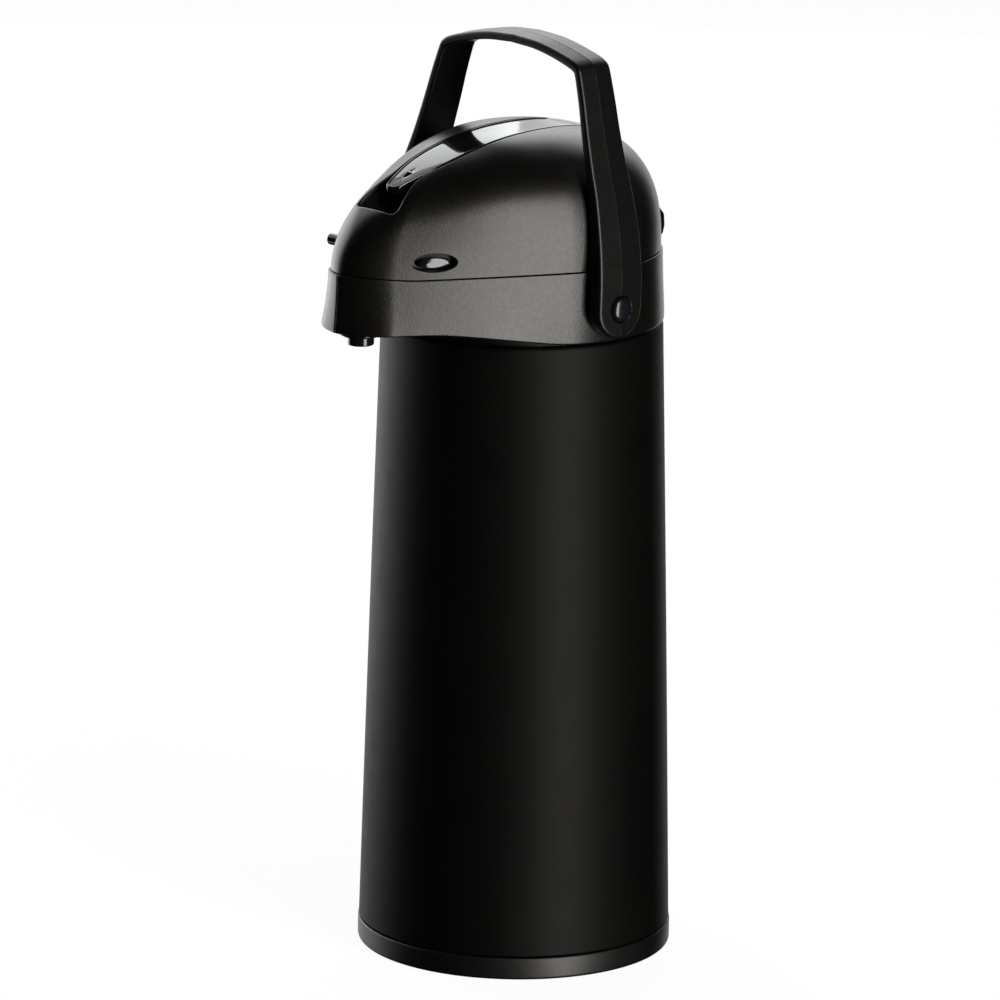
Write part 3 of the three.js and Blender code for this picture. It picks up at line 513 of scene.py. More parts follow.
def rim_partners(outline):
    """For each point of the opening, the point of the lid's outer rim that its column runs to."""
    half = outline[: COLUMNS // 2 + 1]
    run = distances(half)
    rim = lid_half(3000)
    rim_run = np.linspace(0, 1, len(rim))

    def nearest(values, line, point):
        return values[np.argmin(np.hypot(line[:, 0] - point[0], line[:, 1] - point[1]))]

    pairs = [(nearest(run, half, a), nearest(rim_run, rim, b)) for a, b in COLUMN_PAIRS]
    knots = [(0, 0), *pairs, (run[-1], 1)]
    share = np.interp(run, [k[0] for k in knots], [k[1] for k in knots])
    kernel = np.ones(BLEND) / BLEND
    pad = BLEND - 1
    padded = np.concatenate([-share[pad:0:-1], share, 2 - share[-2 : -2 - pad : -1]])
    smooth = np.convolve(padded, kernel, "same")[pad:-pad]
    smooth[0], smooth[-1] = 0, 1
    at = smooth * (len(rim) - 1)
    index = np.arange(len(rim))
    found = np.stack([np.interp(at, index, rim[:, 0]), np.interp(at, index, rim[:, 1])], axis=1)
    return mirrored(found)


def surface_normals(grid):
    """Outward unit normals of a grid of anticlockwise rings that runs outward and down."""
    along = np.roll(grid, -1, axis=1) - np.roll(grid, 1, axis=1)
    across = np.gradient(grid, axis=0)
    normal = np.cross(across, along)
    return normal / np.maximum(np.linalg.norm(normal, axis=2, keepdims=True), 1e-12)


LID_WALL = 2.4
SEAM_RISE = 2.1  # of the seam between lid and collar at the tip of the nose
LIP_R, SCOOP_LIP_R = 0.45, 1.35  # of the opening's rounded edge beside the lever and round the scoop


def seam_rise(y):
    """How far the seam has climbed at y on its way to the tip of the nose."""
    return SEAM_RISE * smoothstep(-np.asarray(y, float), 98, NOSE_TIP)


def dome():
    """The lid: a lip round the opening, the domed surface, the rim and the inside."""
    inner = opening_outline()
    away = outward(inner)
    rim = rim_partners(inner)
    radius = LIP_R + (SCOOP_LIP_R - LIP_R) * smoothstep(-inner[:, 1], 90, 103)
    gap, probe = 0.2, 0.6  # how far from the edge the surface's slope is taken, and over what length
    near = dome_height(*(inner + away * gap).T)
    far = dome_height(*(inner + away * (gap + probe)).T)
    slope = np.arctan2(far - near, probe)
    reach = radius * (1 - np.sin(slope))
    start = inner + away * reach[:, None]
    start_z = dome_height(*start.T)
    centre_z = start_z - radius * np.cos(slope)
    rings = [np.column_stack([inner, centre_z - drop]) for drop in (LID_WALL, LID_WALL / 2, 0)]
    steps = 7
    for k in range(1, steps):
        theta = math.pi + (math.pi / 2 + slope - math.pi) * k / steps
        plan = inner + away * (radius * (1 + np.cos(theta)))[:, None]
        rings.append(np.column_stack([plan, centre_z + radius * np.sin(theta)]))
    rows, fine = 66, 500
    g = 1 - (1 - np.linspace(0, 1, fine)) ** 2
    plan = start[:, None, :] + (rim - start)[:, None, :] * g[None, :, None]
    foot = DOME_BOTTOM + seam_rise(rim[:, 1])
    height = np.maximum(dome_height(plan[:, :, 0], plan[:, :, 1]), foot[:, None])
    height[:, -1] = foot
    columns = np.concatenate([plan, height[:, :, None]], axis=2)
    spaced = np.stack([even(c, rows) for c in columns], axis=1)
    rings.extend(spaced)
    for inset in (0.35, LID_WALL):
        ring = spaced[-1].copy()
        ring[:, :2] -= outward(rim) * inset
        ring[:, 2] -= 0.15
        rings.append(ring)
    inside = spaced - LID_WALL * surface_normals(spaced)
    inside[:, :, 2] = np.maximum(inside[:, :, 2], foot + 0.3)
    rings.extend(inside[k] for k in range(rows - 4, 3, -4))
    return rings_to_mesh(rings, close_rows=True)


# The push-through lock: a rod across the nose, its oval head in an oval pocket square to the flank.
LOCK_Y, LOCK_Z, LOCK_R = -89.4, 374.3, 3.05
LOCK_FAR_X, LOCK_NEAR_X = -47.5, 30.6
LOCK_HEAD_LONG, LOCK_HEAD_HIGH = 7.0, 2.95  # half sizes of the head's oval face
POCKET_CENTRE = np.array([32.4, -91.7, 375.2])
POCKET_HALF_LONG, POCKET_HALF_HIGH, POCKET_DEPTH = 11.9, 4.7, 6.5
FLANK_ALONG = np.array([0.469, 0.883, 0.0])
FLANK_OUT = np.array([0.883, -0.469, 0.0])
UP = np.array([0.0, 0.0, 1.0])


def pocket_ring(inset, depth, count=64):
    """An oval of the pocket, inset from its edge, at a depth (or depths) out from its centre."""
    t = np.linspace(0, 2 * math.pi, count, endpoint=False)
    depth = np.broadcast_to(depth, t.shape)
    plan = POCKET_CENTRE + np.outer((POCKET_HALF_LONG - inset) * np.cos(t), FLANK_ALONG)
    return plan + np.outer((POCKET_HALF_HIGH - inset) * np.sin(t), UP) + np.outer(depth, FLANK_OUT)


def reach_of_dome(ring):
    """How far out along the flank's normal each point of a ring meets the lid's surface."""
    low, high = np.full(len(ring), -9.0), np.full(len(ring), 9.0)
    for _ in range(30):
        middle = (low + high) / 2
        at = ring + np.outer(middle, FLANK_OUT)
        inside = at[:, 2] < dome_height(at[:, 0], at[:, 1])
        low, high = np.where(inside, middle, low), np.where(inside, high, middle)
    return low


def lock_pocket_cutter():
    """The pocket's space, which widens in a quarter round where it meets the lid's surface."""
    edge = 0.35
    rings = [pocket_ring(0, -POCKET_DEPTH - 4)]
    inner = reach_of_dome(pocket_ring(0, 0))
    outer = reach_of_dome(pocket_ring(-edge, 0))
    for sine, cosine in quarter(6):
        out = edge * (1 - cosine)
        level = inner + (outer - inner) * out / edge - edge + edge * sine
        rings.append(pocket_ring(-out, level))
    rings.append(pocket_ring(-edge - 0.8, outer + 0.7))
    rings.append(pocket_ring(-edge - 0.8, outer + 8))
    return rings_to_mesh(rings, cap_start=True, cap_end=True)


def lock_pocket():
    """The cup behind the hole in the lid that the lock's head moves in."""
    lip = reach_of_dome(pocket_ring(0, 0)) - 1.6
    floor = -POCKET_DEPTH
    places = (
        (-1.3, lip), (0.05, lip + 0.3), (0.05, floor + 1), (0.35, floor + 0.3), (1.1, floor),
        (3.0, floor), (3.0, floor - 1.5), (-1.3, floor - 1.5),
    )
    rings = [pocket_ring(inset, depth) for inset, depth in places]
    return rings_to_mesh(rings, close_rows=True)


def lock_rod():
    """A round shank with a glossy oval head, whose face lies parallel to the flank."""
    t = np.linspace(0, 2 * math.pi, 48, endpoint=False)

    def oval(x, half_long, half_high):
        y, z = LOCK_Y + half_long * np.cos(t), LOCK_Z + half_high * np.sin(t)
        return np.stack([np.full(len(t), float(x)), y, z], axis=1)

    rings = [oval(LOCK_FAR_X + 0.02, 0.5, 0.5)]
    for sine, cosine in quarter(5):
        r = LOCK_R - 1.0 + sine
        rings.append(oval(LOCK_FAR_X + 1.0 - cosine, r, r))
    rings.append(oval(18.9, LOCK_R, LOCK_R))
    rings.append(oval(19.0, 6.4, 3.06))
    rings.append(oval(19.8, LOCK_HEAD_LONG, 3.1))
    slant = FLANK_OUT[1] / FLANK_OUT[0]

    def face(inset, drop):
        ring = oval(0, LOCK_HEAD_LONG - inset, LOCK_HEAD_HIGH - inset)
        ring[:, 0] = LOCK_NEAR_X - slant * (ring[:, 1] - LOCK_Y) - drop
        return ring

    rings.append(face(0, 4))
    for sine, cosine in quarter(5):
        rings.append(face(0.9 * (1 - cosine), 1.2 - 0.9 * sine))
    for inset, drop in ((1.5, 0.17), (2.2, 0.06), (2.8, 0.0)):
        rings.append(face(inset, drop))
    return rings_to_mesh(rings, cap_start=True, cap_end=True)


# ---------------- lever and its well
LEVER_HINGE_Y, LEVER_HINGE_Z = 44.0, 417.0
LEVER_T = 4.0
LEVER = [
    (0, 48.5), (-9, 48.5), (-12.2, 47.8), (-13.1, 45.8), (-13.2, 42), (-13.2, 10), (-13, -20),
    (-12.4, -45), (-11.8, -60), (-10.4, -70), (-7.9, -80), (-5.4, -88.4), (-4.5, -90.9),
    (-2.9, -92.2), (0, -92.5),
]
# The lever's top from its edge inwards: inset and drop of a rounded edge, a flat border and a dish.
LEVER_TOP = [
    (0.0, 0.55), (0.05, 0.33), (0.18, 0.14), (0.36, 0.03), (0.6, 0.0), (0.8, 0.0), (0.92, 0.03),
    (1.0, 0.12), (1.08, 0.3), (1.18, 0.48), (1.35, 0.56), (1.7, 0.6), (2.6, 0.64), (4.0, 0.72),
    (6.0, 0.82), (8.5, 0.9),
]
DISH_START, DISH_DEPTH = 0.85, 0.95  # inset where the dish begins, and its depth on the middle line
LEVER_MIDDLE = (34, -83)  # back and front of the line that the lever's rings close in on
WELL_FRONT, WELL_FLOOR = -84, 398.6  # front end of the part under the lever, and its lowest height


def inset_rings(outline, back, front, insets):
    """Rings drawn in from a long outline towards the line x = 0 between y back and front."""
    target = np.column_stack([np.zeros(len(outline)), np.clip(outline[:, 1], front, back)])
    away = target - outline
    length = np.linalg.norm(away, axis=1, keepdims=True)
    rings = [outline + away * np.minimum(inset / length, 1) for inset in insets]
    return rings, outline + away


def lever():
    """The lever: its top follows the lid's crown and is dished, except near the hinge."""
    outline = mirrored(through(LEVER, 200))

    def lowered(plan, drop):
        return np.column_stack([plan, dome_height(*plan.T) - drop])

    under, medial = inset_rings(outline, *LEVER_MIDDLE, (6.0, 2.0, 0.7, 0.2, 0.0))
    rings = [lowered(medial, LEVER_T)]
    for plan, lift in zip(under, (0, 0, 0, 0.2, 0.7)):
        rings.append(lowered(plan, LEVER_T - lift))
    plans, medial = inset_rings(outline, *LEVER_MIDDLE, [inset for inset, drop in LEVER_TOP])
    dished = 1 - smoothstep(medial[:, 1], 24, 32)
    for plan, (inset, drop) in zip(plans, LEVER_TOP):
        rings.append(lowered(plan, drop * dished if inset > DISH_START else drop))
    rings.append(lowered(medial, DISH_DEPTH * dished))
    return rings_to_mesh(rings)


def well_floor(y):
    """Height of the well's floor: low under the finger scoop, then close under the lever."""
    y = np.asarray(y, float)
    clearance, hinge_start, hinge_end = 2.0, 29, 33
    ramp = np.interp(y, [-93, WELL_FRONT], [385.6, WELL_FLOOR])
    climb = WELL_FLOOR + 4 * np.clip(y - WELL_FRONT, 0, 9)
    floor = np.where(y < WELL_FRONT, ramp, np.minimum(crown(y) - LEVER_T - clearance, climb))
    return np.where(y > hinge_start, np.interp(y, [hinge_start, hinge_end], [420, 409.6]), floor)


def lever_well():
    """The trough that fills the lid's opening, a little inside its edge."""
    inner = opening_outline()
    away = outward(inner)
    lip = dome_height(*inner.T) - LID_WALL - 1.2
    wall = 1.5
    inside = inner + away * 0.12
    outside = inside + away * wall
    floor = well_floor(inside[:, 1])
    top = np.maximum(lip, floor + 0.8)
    rings = [np.column_stack([outside, top]), np.column_stack([inside, top])]
    rings.append(np.column_stack([inside, floor + 0.6]))
    plans, medial = inset_rings(inside, 46, -94, (0.25, 0.7, 2.0, 4.5))
    for plan, lift in zip(plans, (0.18, 0, 0, 0)):
        rings.append(np.column_stack([plan, well_floor(plan[:, 1]) + lift]))
    rings.append(np.column_stack([medial, well_floor(medial[:, 1])]))
    rings.append(np.column_stack([medial, well_floor(medial[:, 1]) - wall]))
    rings.append(np.column_stack([outside, well_floor(outside[:, 1]) - wall]))
    return rings_to_mesh(rings, close_rows=True)


# ---------------- body, base and neck
BODY_BOTTOM, BODY_TOP, BODY_R_LOW, BODY_R_HIGH = 12.2, 328.8, 80.5, 72.2
FOOT_R, SHOULDER_R = BODY_R_LOW - 3.6, 66.8  # inner radii of the shell's rolled ends
BODY_SWELL = 1.0  # four times how far the side bulges past a straight cone


def body_shell():
    """The tapered shell, with a short flange turned in at each end."""
    wall, rows = 1.2, 30
    side = []
    for k in range(1, rows):
        t = k / rows
        radius = BODY_R_LOW + (BODY_R_HIGH - BODY_R_LOW) * t + BODY_SWELL * t * (1 - t)
        side.append((radius, BODY_BOTTOM + 1 + (BODY_TOP - BODY_BOTTOM - 3) * t))
    profile = [
        (FOOT_R, BODY_BOTTOM), (BODY_R_LOW, BODY_BOTTOM), (BODY_R_LOW, BODY_BOTTOM + 1.0), *side,
        (BODY_R_HIGH, BODY_TOP), (SHOULDER_R, BODY_TOP), (SHOULDER_R, BODY_TOP - wall),
        (BODY_R_HIGH - wall, BODY_TOP - wall), (BODY_R_LOW - wall, BODY_BOTTOM + wall),
        (FOOT_R, BODY_BOTTOM + wall),
    ]
    radii = [0.5, 0, *[0] * len(side), 2.2, 0.4, 0.4, 1.2, 0.6]
    return lathe(rounded(profile, radii), 256)


def swivel_base():
    """A dish with a bearing post and three ring grooves underneath, the widest for the rubber ring."""
    radius, top, wall = 81.0, 11.4, 3.4
    profile = [
        (0, 0.2), (10, 0.2), (10, 0), (24, 0), (25, 0.9), (27, 0.9), (28, 0), (42, 0), (43, 0.9),
        (45, 0.9), (46, 0), (57.65, 0), (57.65, 1.6), (66.35, 1.6), (66.35, 0), (radius - 0.6, 0),
        (radius, 1.2), (radius, top), (radius - wall, top), (radius - wall, 3.2), (10, 3),
        (10, 20.6), (4, 20.6), (4, 8), (0, 8),
    ]
    radii = [0, 0, *[0.3] * 9, 0.2, 0.2, 0.3, 1.6, 2.0, 0.9, 0.6, 1.5, 0.8, 0.4, 0.4, 0.3]
    return lathe(rounded(profile, radii, 4), 256)


def anti_slip_ring():
    """A flat ring with three grooves in its lower face."""
    profile = [(58, 1.25), (58, 0.35), (58.6, 0)]
    for k in range(3):
        r = 59.6 + 2.2 * k
        profile += [(r, 0), (r + 0.3, 0.45), (r + 0.9, 0.45), (r + 1.2, 0)]
    profile += [(65.4, 0), (66, 0.35), (66, 1.25), (58, 1.25)]
    return lathe(profile[:-1], 192)


def neck_ring():
    """The recessed band between shell and collar, with a flat web that reaches in to the liner's neck."""
    profile = [
        (30.6, 335.5), (64.3, 335.5), (64.3, 318), (70, 318), (70, 321), (66.3, 321), (66.3, 342),
        (64.3, 342), (64.3, 338), (30.6, 338), (30.6, 335.5),
    ]
    radii = [0.5, 1.0, 0.4, 0.6, 0.8, 0.5, 0.5, 1.0, 0.5]
    return lathe(rounded(profile, radii, 4)[:-1], 192)


# ---------------- collar with the spout nose
COLLAR_COLUMNS = 480
DECK_Z, DECK_T = 354.0, 2.5
MOUTH_R, MOUTH_WALL, MOUTH_LOW, MOUTH_TOP = 31.5, 2.5, 343.9, 364.0
NOZZLE_Y, OUTLET_Z, NOSE_BOTTOM = -111.5, 349.8, 339.0
SKIRT_R = 68.6  # the inside of the collar's lower edge
GROOVE_DEPTH, GROOVE_HALF = 0.35, 0.45  # of the fine line down the nose's keel
# How far the collar spreads: a share that grows downwards times an amount that grows forwards.
flare_share = hermite(
    [(328, 0.96), (333, 1), (340, 0.8), (347, 0.5), (354, 0.26), (360, 0.1), (363.5, 0.02), (366.5, 0)]
)
flare_amount = hermite(
    [(-131, 1.9), (-127.5, 2.0), (-122, 3.4), (-115, 4.3), (-104, 4.1), (-90, 3.7), (-60, 3.2),
     (-44, 2.4), (-28, 1.6), (-14, 1.3), (0, 1.25), (80, 1.25)]
)
under_edge = hermite(
    [(-140, NOSE_BOTTOM), (-106, NOSE_BOTTOM), (-98, 338.9), (-90, 338.6), (-81, 337.7), (-72, 336.4),
     (-63, 335.0), (-54, 333.5), (-45, 332.0), (-36, 330.6), (-26, 329.9), (-16, 329.7), (0, 329.7),
     (90, 329.7)]
)


def collar_line(offset, groove=GROOVE_DEPTH):
    """The collar's plan outline at an offset, with columns crowded towards the nose's keel."""
    half = head_half(offset, 3000)
    crowding = 1.6
    share = 1 - (1 - np.linspace(0, 1, COLLAR_COLUMNS // 2 + 1)) ** crowding
    index = share * (len(half) - 1)
    at = np.arange(len(half))
    picked = np.stack([np.interp(index, at, half[:, 0]), np.interp(index, at, half[:, 1])], axis=1)
    nearness = np.clip(1 - np.abs(picked[:, 0]) / GROOVE_HALF, 0, 1)
    picked[:, 1] += groove * nearness * (picked[:, 1] < 0)
    return mirrored(picked)


def collar():
    """The collar, ring by ring: up its inside to the mouth, over the seam and down its outside."""
    line, inner = collar_line(0), collar_line(0, 0)
    step = collar_line(1) - line
    inner_step = collar_line(-1, 0) - inner
    ray = inner / np.linalg.norm(inner, axis=1, keepdims=True)
    level = np.ones(len(line))

    def circle(radius, z):
        return np.column_stack([ray * radius, z * level])

    def outer_at(offset, z):
        return np.column_stack([line + step * np.reshape(offset * level, (-1, 1)), z * level])

    def inner_at(inset, z):
        return np.column_stack([inner + inner_step * inset, z * level])

    skirt = ray * SKIRT_R
    seam = SEAM_Z + seam_rise(line[:, 1])
    top_edge, edge = 0.7, 1.2  # radii of the collar's upper and lower outer edges
    mouth_out, deck_top = MOUTH_R + MOUTH_WALL, DECK_Z + DECK_T
    rings = [
        np.column_stack([skirt, under_edge(skirt[:, 1]) + 0.5]), circle(SKIRT_R, DECK_Z - 1),
        circle(SKIRT_R - 1, DECK_Z), circle(mouth_out, DECK_Z), circle(mouth_out, MOUTH_LOW),
        circle(MOUTH_R, MOUTH_LOW), circle(MOUTH_R, MOUTH_TOP - 0.4), circle(MOUTH_R + 0.4, MOUTH_TOP),
        circle(mouth_out - 0.4, MOUTH_TOP), circle(mouth_out, MOUTH_TOP - 0.4),
        circle(mouth_out, deck_top), inner_at(3.2, deck_top), inner_at(2.6, deck_top + 0.6),
        inner_at(2.6, seam - 0.5), inner_at(2.2, seam - 0.1), inner_at(1.6, seam),
    ]
    for sine, cosine in quarter(5):
        rings.append(outer_at(-top_edge * (1 - sine), seam - top_edge * (1 - cosine)))
    bottom = under_edge(line[:, 1])
    amount = flare_amount(line[:, 1])
    high, rows = seam - 0.9, 30
    for k in range(1, rows + 1):
        z = high + (bottom + edge - high) * k / rows
        rings.append(outer_at(flare_share(z) * amount, z))
    for sine, cosine in quarter(7)[1:]:
        z = bottom + edge * (1 - sine)
        rings.append(outer_at(flare_share(z) * amount - edge * (1 - cosine), z))
    low = rings[-1]
    target = skirt + (low[:, :2] - skirt) * 0.12
    for share in (0.25, 0.5, 0.75, 1.0):
        plan = low[:, :2] + (target - low[:, :2]) * share
        rings.append(np.column_stack([plan, under_edge(plan[:, 1])]))
    return rings_to_mesh(rings, close_rows=True)


def nose_pocket():
    """The hollow of the nose, which the outlet pipe runs through."""
    wall, back_y = 2.6, -71.6
    outline = mirrored(head_half(-wall, 201))
    front = outline[outline[:, 1] < back_y]
    level = np.ones(len(front))
    heights = (NOSE_BOTTOM + wall, DECK_Z + DECK_T + 1)
    rings = [np.column_stack([front, z * level]) for z in heights]
    return rings_to_mesh(rings, cap_start=True, cap_end=True)


def rod(radius, start, end, count=48):
    """A closed round rod between two points."""
    start, end = np.array(start, float), np.array(end, float)
    axis = (end - start) / np.linalg.norm(end - start)
    side = np.cross(axis, (0.3, 0.5, 0.81))
    side /= np.linalg.norm(side)
    other = np.cross(axis, side)
    t = np.linspace(0, 2 * math.pi, count, endpoint=False)
    circle = np.outer(np.cos(t), side) + np.outer(np.sin(t), other)
    return rings_to_mesh([start + radius * circle, end + radius * circle], cap_start=True, cap_end=True)


def prism(outline, x0, x1, edge, steps=4):
    """A side-view [y, z] outline as a slab from x0 to x1 with rounded edges."""
    line = np.array(outline, float)
    area = np.sum(line[:, 0] * np.roll(line[:, 1], -1) - np.roll(line[:, 0], -1) * line[:, 1])
    if area < 0:
        line = line[::-1]
    away = outward(line)
    rings = []
    for sine, cosine in quarter(steps):
        plan = line - away * (edge * (1 - sine))
        rings.append(np.column_stack([np.full(len(line), x0 + edge * (1 - cosine)), plan]))
    back = [np.column_stack([x0 + x1 - ring[:, 0], ring[:, 1:]]) for ring in reversed(rings)]
    return rings_to_mesh([*rings, *back], cap_start=True, cap_end=True)


def closed_round(points, radius, steps=5):
    """A closed outline with every corner rounded."""
    loop = [points[-1], *points, points[0]]
    return rounded(loop, [radius] * len(points), steps)[1:-1]


HINGE_Y, HINGE_Z = 75.5, 370.8


def hinge_ear(x0):
    """One of the two ears that the lid's hinge pin runs through, from x0 to x0 + 3."""
    reach = 4.6
    ear = [
        (66, 352), (HINGE_Y + 2, 352), (HINGE_Y + reach, 356), (HINGE_Y + reach, HINGE_Z + reach),
        (HINGE_Y - reach, HINGE_Z + reach), (HINGE_Y - reach, 366), (66, 366),
    ]
    loop = closed_round(ear, 4.0, 8)
    outline = even([*loop, loop[0]], 90)[:-1]
    return prism(outline, x0, x0 + 3, 0.5)


def hinge_block():
    """The block at the back of the lid, between the two ears."""
    side = [
        (60, 367.9), (73.4, 367.9), (73.4, 361.5), (80, 361), (84.8, 363.5), (86, 368), (85.5, 374),
        (82, 378), (76, 380), (60, 381),
    ]
    loop = closed_round(side, 2.2, 8)
    outline = even([*loop, loop[0]], 140)[:-1]
    return prism(outline, -15.9, 15.9, 1.0, 6)


def at_nozzle(verts, faces):
    return [(x, y + NOZZLE_Y, z) for x, y, z in verts], faces


def spout_nozzle():
    """The outlet's tube, with a small chamfer inside its lower end."""
    bore, outside, low, high, chamfer = 4.4, 6.75, 331, 345, 0.3
    profile = [(bore, low), (outside, low), (outside, high), (bore, high), (bore, low)]
    points = rounded(profile, [0.8, 0.3, 0.3], 5)[1:-1]
    return at_nozzle(*lathe([(bore + chamfer, low), *points, (bore, low + chamfer)], 72))


def nozzle_flange():
    """The stepped ring round the nozzle."""
    profile = [
        (7.1, 335.6), (9.4, 335.6), (9.6, 336.6), (11.4, 336.6), (11.4, 338.65), (7.1, 338.65),
        (7.1, 335.6),
    ]
    return at_nozzle(*lathe(rounded(profile, [0.5, 0.3, 0.5, 0.2, 0.2], 4)[:-1], 72))


# ---------------- handle
PIVOT_Y, PIVOT_Z, EYE_R = -8.5, 348.0, 14.7
LEAN = 0.0625  # backwards, for each millimetre above the pivots
# Half of the bail: x and z of its outer line, the strap's thickness, and half its width.
BAIL = [
    (81.5, 348, 8.5, 14.7), (80.9, 362, 8.3, 14.7), (79.2, 375, 8.0, 14.4), (76.3, 389, 7.0, 14.0),
    (72.4, 403, 6.3, 13.3), (66.6, 419, 5.7, 12.5), (61.2, 436, 5.3, 11.9), (56.6, 452, 5.0, 11.4),
    (54.2, 459.4, 4.9, 11.2), (53.0, 463.0, 4.9, 11.1), (51.2, 466.8, 5.0, 11.0),
    (47.6, 469.4, 5.0, 11.0), (43.5, 470.9, 4.95, 11.0), (36.0, 472.9, 4.8, 10.9),
    (19.0, 476.3, 4.7, 10.9), (0, 477.6, 4.7, 10.9),
]


def bail_stations():
    """The bail's stations from the right eye's lower end, over the top, to the left eye's."""
    path = through(BAIL, 120)
    eye_x, _, eye_thick, _ = BAIL[0]
    eye = []
    for sine, cosine in quarter(14)[1:]:
        eye.append((eye_x, PIVOT_Z - EYE_R * sine, eye_thick, max(EYE_R * cosine, 0.02)))
    right = np.array(eye[::-1] + [tuple(p) for p in path])
    left = right[:-1][::-1].copy()
    left[:, 0] *= -1
    return np.concatenate([right, left])


def handle():
    """The bail: a strap with a faint ridge down its outer face and a round eye at each end."""
    stations = bail_stations()
    line = stations[:, :2]
    along = np.gradient(line, axis=0)
    eyes = line[:, 1] < PIVOT_Z + 1
    along[eyes] = (0, 1)
    along[eyes & (line[:, 0] < 0)] = (0, -1)
    along /= np.linalg.norm(along, axis=1, keepdims=True)
    out = np.stack([along[:, 1], -along[:, 0]], axis=1)
    share = np.sin(np.linspace(-math.pi / 2, math.pi / 2, 35))
    edge_out, edge_in = 1.5, 1.2  # radii of the strap's edges
    roof = 0.7  # how far the outer face falls from its middle to its edges
    ridge, ridge_half, beside_ridge = 0.1, 0.5, 0.035
    rings = []
    for (x, z, thick, half), n in zip(stations, out):
        a = np.unique(np.concatenate([share, [-beside_ridge, beside_ridge]])) * half
        below = max(PIVOT_Z - z, 0)
        radius = np.hypot(a, below)
        limit = EYE_R if below else half

        def drop(edge):
            over = np.clip((radius - (limit - edge)) / edge, 0, 1)
            return edge * (1 - np.sqrt(np.maximum(1 - over**2, 0)))

        tent = roof * np.abs(a) / EYE_R * min(1.0, half / 8)
        line_up = ridge * np.clip(1 - np.abs(a) / ridge_half, 0, 1) * (half > 6)
        outer = drop(edge_out) + tent + ridge - line_up
        inner = thick - drop(edge_in)
        across = np.concatenate([a, a[::-1]])
        depth = np.concatenate([outer, inner[::-1]])
        middle = PIVOT_Y + (max(z, PIVOT_Z) - PIVOT_Z) * LEAN
        rings.append(np.column_stack([x - n[0] * depth, middle + across, z - n[1] * depth]))
    return rings_to_mesh(rings, cap_start=True, cap_end=True)


def eye_recess(side):
    """The round sink in the handle's outer face that the pivot cap sits in."""
    profile = [(0, 79.3), (7.0, 79.3), (7.0, 80.9), (7.15, 81.25), (7.6, 81.6), (8.2, 82.5), (0, 82.5)]
    verts, faces = lathe(profile, 64)
    return turned_about_x(verts, side, PIVOT_Y, PIVOT_Z), faces


def pivot_pin(side):
    """A shouldered pin with a domed cap; the profile's heights are distances from the middle."""
    cap_r, cap_foot, cap_rise = 6.2, 81.7, 2.4
    profile = [(0, 67.4), (3.2, 67.4), (3.5, 67.7), (3.5, 79.6), (cap_r, 79.6), (cap_r, cap_foot)]
    for sine, cosine in quarter(10)[1:-1]:
        profile.append((cap_r * cosine**0.9, cap_foot + cap_rise * sine))
    profile.append((0, cap_foot + cap_rise))
    verts, faces = lathe(profile, 64)
    return turned_about_x(verts, side, PIVOT_Y, PIVOT_Z), faces


# ---------------- the pieces
MATT, SHINY = "matt_black_plastic", "gloss_black_plastic"
SIDES = ((1, "right"), (-1, "left"))


def build_head():
    lid = piece("lid_dome", *dome(), HEAD_BLACK, "flask", MATT, ("lid_shell",), 40)
    carve(lid, *lock_pocket_cutter())
    carve(lid, *rod(LOCK_R + 0.4, (-60, LOCK_Y, LOCK_Z), (-20, LOCK_Y, LOCK_Z)))
    # The pocket cup's darker black is painted shade inside the recess.
    piece("lock_pocket_cup", *lock_pocket(), PAINTED_SHADE_BLACK, "flask", MATT, (), 40)
    piece("lock_push_rod", *lock_rod(), GLOSS, "lock", SHINY, ("lock_rod",), 40)
    well = piece("lever_trough", *lever_well(), WELL_BLACK, "flask", SHINY, ("lever_well",))
    carve(well, *rod(9.5, (0, -1, 370), (0, -1, 440)))
    piece("lever_tongue", *lever(), GLOSS, "lever", SHINY, ("lever",), 60)
    turn = np.linspace(0, 2 * math.pi, 61)
    circle = [LEVER_HINGE_Y + 4.2 * np.cos(turn), LEVER_HINGE_Z + 4.2 * np.sin(turn)]
    barrel = even(np.stack(circle, axis=1), 60)[:-1]
    piece("lever_barrel", *prism(barrel, -7.5, 7.5, 0.4), GLOSS, "lever", SHINY)
    web = closed_round([(41, 417), (47, 417), (47, 421.8), (41, 421.8)], 0.5)
    piece("lever_web", *prism(web, -7.5, 7.5, 0.4), GLOSS, "lever", SHINY)
    pusher = [(0, 404), (6.5, 404), (6.5, 427.2), (0, 427.2)]
    piece("lever_pusher", *lathe(rounded(pusher, [0.8, 0.1]), 64), GLOSS, "lever", SHINY)
    block = piece("hinge_cover", *hinge_block(), GLOSS, "flask", SHINY, ("hinge_block",))
    carve(block, *hinge_bore())


def hinge_bore():
    return rod(1.8, (-30, HINGE_Y, HINGE_Z), (30, HINGE_Y, HINGE_Z))


